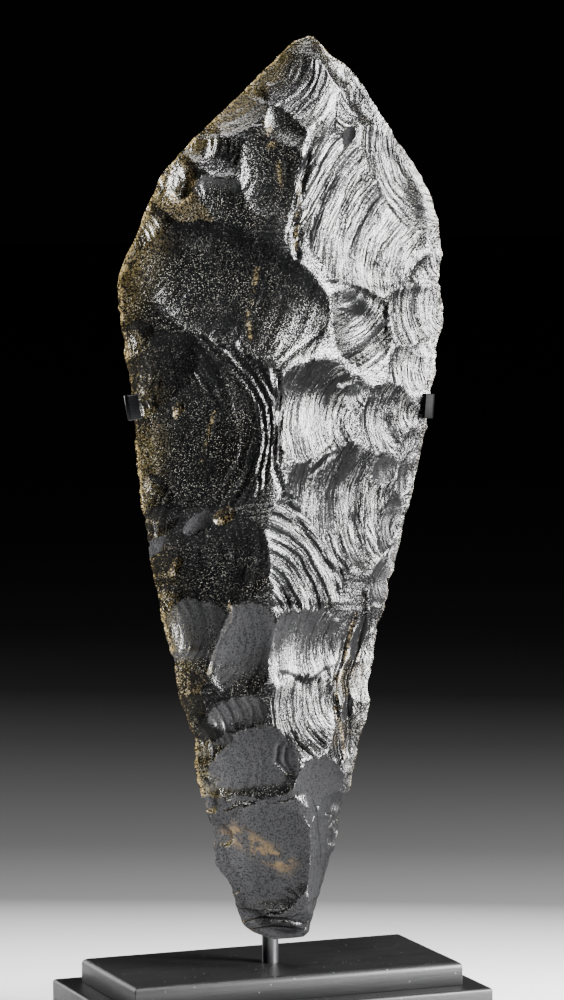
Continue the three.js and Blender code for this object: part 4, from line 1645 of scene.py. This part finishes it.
@dataclass
class SweptBar:
    """A bar of even section along a bent line, made by one Geometry Nodes tree."""

    name: str
    node: str
    line: list[tuple[float, float]]
    width: float
    thickness: float
    round_edge: float
    lean: float
    place: Place
    crease_deg: float = 40.0

    def _tree(self, material: bpy.types.Material) -> tuple[bpy.types.NodeTree, dict[str, str]]:
        """The tree that sweeps a rounded strip along a line and sets it in place.

        Args:
            material: the bar's finish.

        Returns:
            The tree, and each input's identifier by name.
        """
        tree = bpy.data.node_groups.new(self.name + "_sweep", "GeometryNodeTree")
        sizes = {}
        inputs = {"Geometry": "Geometry", "Strip width": "Float", "Strip thickness": "Float",
                  "Edge rounding": "Float", "Lean": "Float", "Place": "Vector"}
        for name, kind in inputs.items():
            socket = tree.interface.new_socket(name=name, in_out="INPUT", socket_type="NodeSocket" + kind)
            sizes[name] = socket.identifier
        tree.interface.new_socket(name="Geometry", in_out="OUTPUT", socket_type="NodeSocketGeometry")
        given, path, upright, section, eased, sweep, turn, move, real, dress, result = (
            tree.nodes.new(kind) for kind in (
                "NodeGroupInput", "GeometryNodeMeshToCurve", "GeometryNodeSetCurveNormal",
                "GeometryNodeCurvePrimitiveQuadrilateral", "GeometryNodeFilletCurve",
                "GeometryNodeCurveToMesh", "ShaderNodeCombineXYZ", "GeometryNodeTransform",
                "GeometryNodeRealizeInstances", "GeometryNodeSetMaterial", "NodeGroupOutput"))
        upright.mode = "Z_UP"
        eased.mode = "POLY"
        eased.inputs["Count"].default_value = 3
        sweep.inputs["Fill Caps"].default_value = True
        dress.inputs["Material"].default_value = material
        wires = (
            (given, "Geometry", path, 0), (path, 0, upright, 0), (upright, 0, sweep, "Curve"),
            (given, "Strip thickness", section, "Width"), (given, "Strip width", section, "Height"),
            (section, 0, eased, 0), (given, "Edge rounding", eased, "Radius"),
            (eased, 0, sweep, "Profile Curve"), (sweep, 0, move, "Geometry"),
            (given, "Lean", turn, 1), (turn, 0, move, "Rotation"),
            (given, "Place", move, "Translation"), (move, 0, real, 0), (real, 0, dress, "Geometry"),
            (dress, 0, result, 0),
        )
        for source, output, target, port in wires:
            tree.links.new(source.outputs[output], target.inputs[port])
        return tree, sizes

    def build(self, material: bpy.types.Material) -> bpy.types.Object:
        """Sweeps the bar and turns it into a plain mesh.

        Args:
            material: the bar's finish.

        Returns:
            The bar's object.
        """
        guide = bpy.data.meshes.new(self.name + "_line")
        points = [(a * MM, b * MM, 0.0) for a, b in self.line]
        guide.from_pydata(points, [(i, i + 1) for i in range(len(points) - 1)], [])
        maker = bpy.data.objects.new(self.name + "_maker", guide)
        bpy.context.scene.collection.objects.link(maker)
        tree, sizes = self._tree(material)
        modifier = maker.modifiers.new("sweep", "NODES")
        modifier.node_group = tree
        settings = {"Strip width": self.width * MM, "Strip thickness": self.thickness * MM,
                    "Edge rounding": self.round_edge * MM, "Lean": self.lean,
                    "Place": [value * MM for value in self.place]}
        for name, value in settings.items():
            modifier[sizes[name]] = value
        graph = bpy.context.evaluated_depsgraph_get()
        mesh = bpy.data.meshes.new_from_object(maker.evaluated_get(graph))
        bpy.data.objects.remove(maker)
        mesh.name = self.name
        bm = bmesh.new()
        bm.from_mesh(mesh)
        bmesh.ops.remove_doubles(bm, verts=bm.verts[:], dist=1e-6)
        bmesh.ops.recalc_face_normals(bm, faces=bm.faces[:])
        bm.to_mesh(mesh)
        bm.free()
        return new_piece(self.name, mesh, material, self.node, self.crease_deg)


@dataclass
class Clips:
    """The two bent strips that follow the chopper's back and hook round its edges."""

    chopper: Chopper
    rod: SupportRod
    strip: float = 9.5
    thickness: float = 1.2
    hook: float = 3.0
    gap: float = 0.5
    left_height: float = 205.2
    right_height: float = 202.6
    end_gap: float = 1.2
    round_edge: float = 0.35
    back_steps: int = 30
    corner_steps: int = 14

    def _line(self, edge: Edge, grip: tuple[float, float], lean: float,
              length: float) -> list[tuple[float, float]]:
        """The strip's middle line seen along its width, from the rod to the hook.

        Args:
            edge: which edge it grips.
            grip: the edge's x and the height at the grip.
            lean: how far the strip leans, in radians.
            length: from the edge to the strip's inner end.

        Returns:
            Points as distance in from the edge and depth, in millimetres.
        """
        outline = self.chopper.outline
        side = edge.value
        off = self.gap + self.thickness / 2
        distances = np.append(np.linspace(length, 0, self.back_steps), self.hook)
        x = grip[0] - side * math.cos(lean) * distances
        z = grip[1] + side * math.sin(lean) * distances
        share = outline.share_across(x, z)
        wander = outline.wander(share, z)
        back = wander + outline.lens(self.chopper.back_bulge, share, z) + off
        front = wander - outline.lens(self.chopper.front_bulge, share, z) - off
        line = list(zip(distances[:-1].tolist(), back[:-1].tolist()))
        for i in range(1, self.corner_steps + 1):
            angle = math.pi * i / self.corner_steps
            line.append((-off * math.sin(angle), float(wander[-2]) + off * math.cos(angle)))
        line.append((self.hook, float(front[-1])))
        return line

    def build(self, finishes: dict[Edge, BlackSteelFinish]) -> list[bpy.types.Object]:
        """Builds both clips.

        Args:
            finishes: the finish of the clip on each edge.

        Returns:
            The clips' objects.
        """
        outline = self.chopper.outline
        px, py, pz = self.chopper.place
        made = []
        for edge, name, height in ((Edge.LEFT, "left_clip", self.left_height),
                                   (Edge.RIGHT, "right_clip", self.right_height)):
            half = self.strip / 2
            low, middle, high = outline.edge(edge, height + np.array([-half, 0.0, half]))
            lean = math.atan2(high - low, self.strip)
            length = (abs(self.rod.x - px - middle) - self.end_gap) / math.cos(lean)
            line = [(-edge.value * d, y) for d, y in self._line(edge, (float(middle), height), lean, length)]
            bar = SweptBar(name + "_strip", name, line, self.strip, self.thickness, self.round_edge, lean,
                           (px + float(middle), py, pz + height))
            made.append(bar.build(finishes[edge].material()))
        return made


# The studio


def aim(obj: bpy.types.Object, target: Place) -> None:
    """Turns an object's -Z towards a point."""
    way = Vector(target) - obj.location
    obj.rotation_euler = way.to_track_quat("-Z", "Y").to_euler()


@dataclass(frozen=True)
class Softbox:
    """A rectangular soft light: width and height in metres, power in watts, spread in radians."""

    name: str
    place: Place
    target: Place
    size: tuple[float, float]
    watts: float
    spread: float = math.pi

    def build(self) -> None:
        """Adds the light to the scene."""
        data = bpy.data.lights.new(self.name, "AREA")
        data.shape = "RECTANGLE"
        data.size, data.size_y = self.size
        data.energy = self.watts
        data.spread = self.spread
        light = bpy.data.objects.new(self.name, data)
        light.location = self.place
        bpy.context.scene.collection.objects.link(light)
        aim(light, self.target)


# Middle of the object, at which most of the lights aim
MIDDLE = (0.0, -0.02, 0.2)
SOFTBOXES = (
    Softbox("key_softbox", (0.92, -0.85, 0.39), MIDDLE, (0.50, 0.90), 160.0),
    Softbox("floor_light", (-0.1, -0.48, 1.15), (-0.1, -0.45, 0.0), (0.8, 0.6), 5.8, 1.2),
    Softbox("front_fill", (-0.5, -1.9, 0.9), MIDDLE, (1.2, 1.2), 0.5),
    Softbox("top_soft", (0.0, -0.28, 1.5), (0.0, 0.0, 0.0), (0.9, 0.7), 8.0),
    Softbox("back_rim", (-0.52, 1.25, 0.5), MIDDLE, (0.5, 0.9), 14.0),
)


@dataclass
class Studio:
    """Floor, soft lights and the camera."""

    camera_place: Place = (-0.6011, -1.5214, 0.3637)
    camera_target: Place = (0.0043, 0.0, 0.2060)
    lens_mm: float = 154.33
    sensor_mm: float = 36.0
    floor_reach: float = 8.0
    ambient: float = 0.0012

    def build(self) -> None:
        """Adds the floor, the lights, the world and the camera."""
        reach = self.floor_reach
        mesh = bpy.data.meshes.new("pale_floor")
        mesh.from_pydata([(-reach, -reach, 0), (reach, -reach, 0), (reach, reach, 0), (-reach, reach, 0)], [],
                         [(0, 1, 2, 3)])
        mesh.materials.append(FloorFinish().material())
        floor = bpy.data.objects.new("pale_floor", mesh)
        bpy.context.scene.collection.objects.link(floor)
        for softbox in SOFTBOXES:
            softbox.build()
        world = bpy.data.worlds.new("dim_room")
        world.use_nodes = True
        world.node_tree.nodes["Background"].inputs[0].default_value = (self.ambient,) * 3 + (1.0,)
        bpy.context.scene.world = world
        data = bpy.data.cameras.new("photo_camera")
        data.lens = self.lens_mm
        data.sensor_width = self.sensor_mm
        camera = bpy.data.objects.new("photo_camera", data)
        camera.location = self.camera_place
        bpy.context.scene.collection.objects.link(camera)
        aim(camera, self.camera_target)
        bpy.context.scene.camera = camera


def main() -> None:
    """Builds every piece in order."""
    logging.basicConfig(level=logging.INFO, format="%(name)s: %(message)s")
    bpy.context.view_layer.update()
    chopper = Chopper()
    chopper.build()
    rod = SupportRod()
    lower = BaseTier("base_lower", "base_lower_tier", rod, length=152.4, depth=79.0, low=0.0, height=18.0,
                     round_over=1.2, bore_low=8.0)
    upper = BaseTier("base_upper", "base_upper_tier", rod, length=134.6, depth=61.6, low=lower.height,
                     height=9.2, round_over=2.2, bore_low=lower.height)
    lower.build()
    upper.build()
    rod.build(BlackSteelFinish().material())
    # Lit and shaded copies of one blackened steel: the left clip's is glossier to catch the light, the right
    # clip's is darker and barely reflects, as painted shade.
    glossy_lit_copy = BlackSteelFinish("worn_strip", black=(0.003, 0.003, 0.0035), rubbed=(0.010, 0.010, 0.009),
                            roughness=0.12)
    dull = BlackSteelFinish("dull_strip", black=(0.003, 0.003, 0.003), rubbed=(0.005, 0.005, 0.005),
                            roughness=0.3, specular=0.03)
    Clips(chopper, rod).build({Edge.LEFT: glossy_lit_copy, Edge.RIGHT: dull})
    Studio().build()


if __name__ == "__main__":
    main()
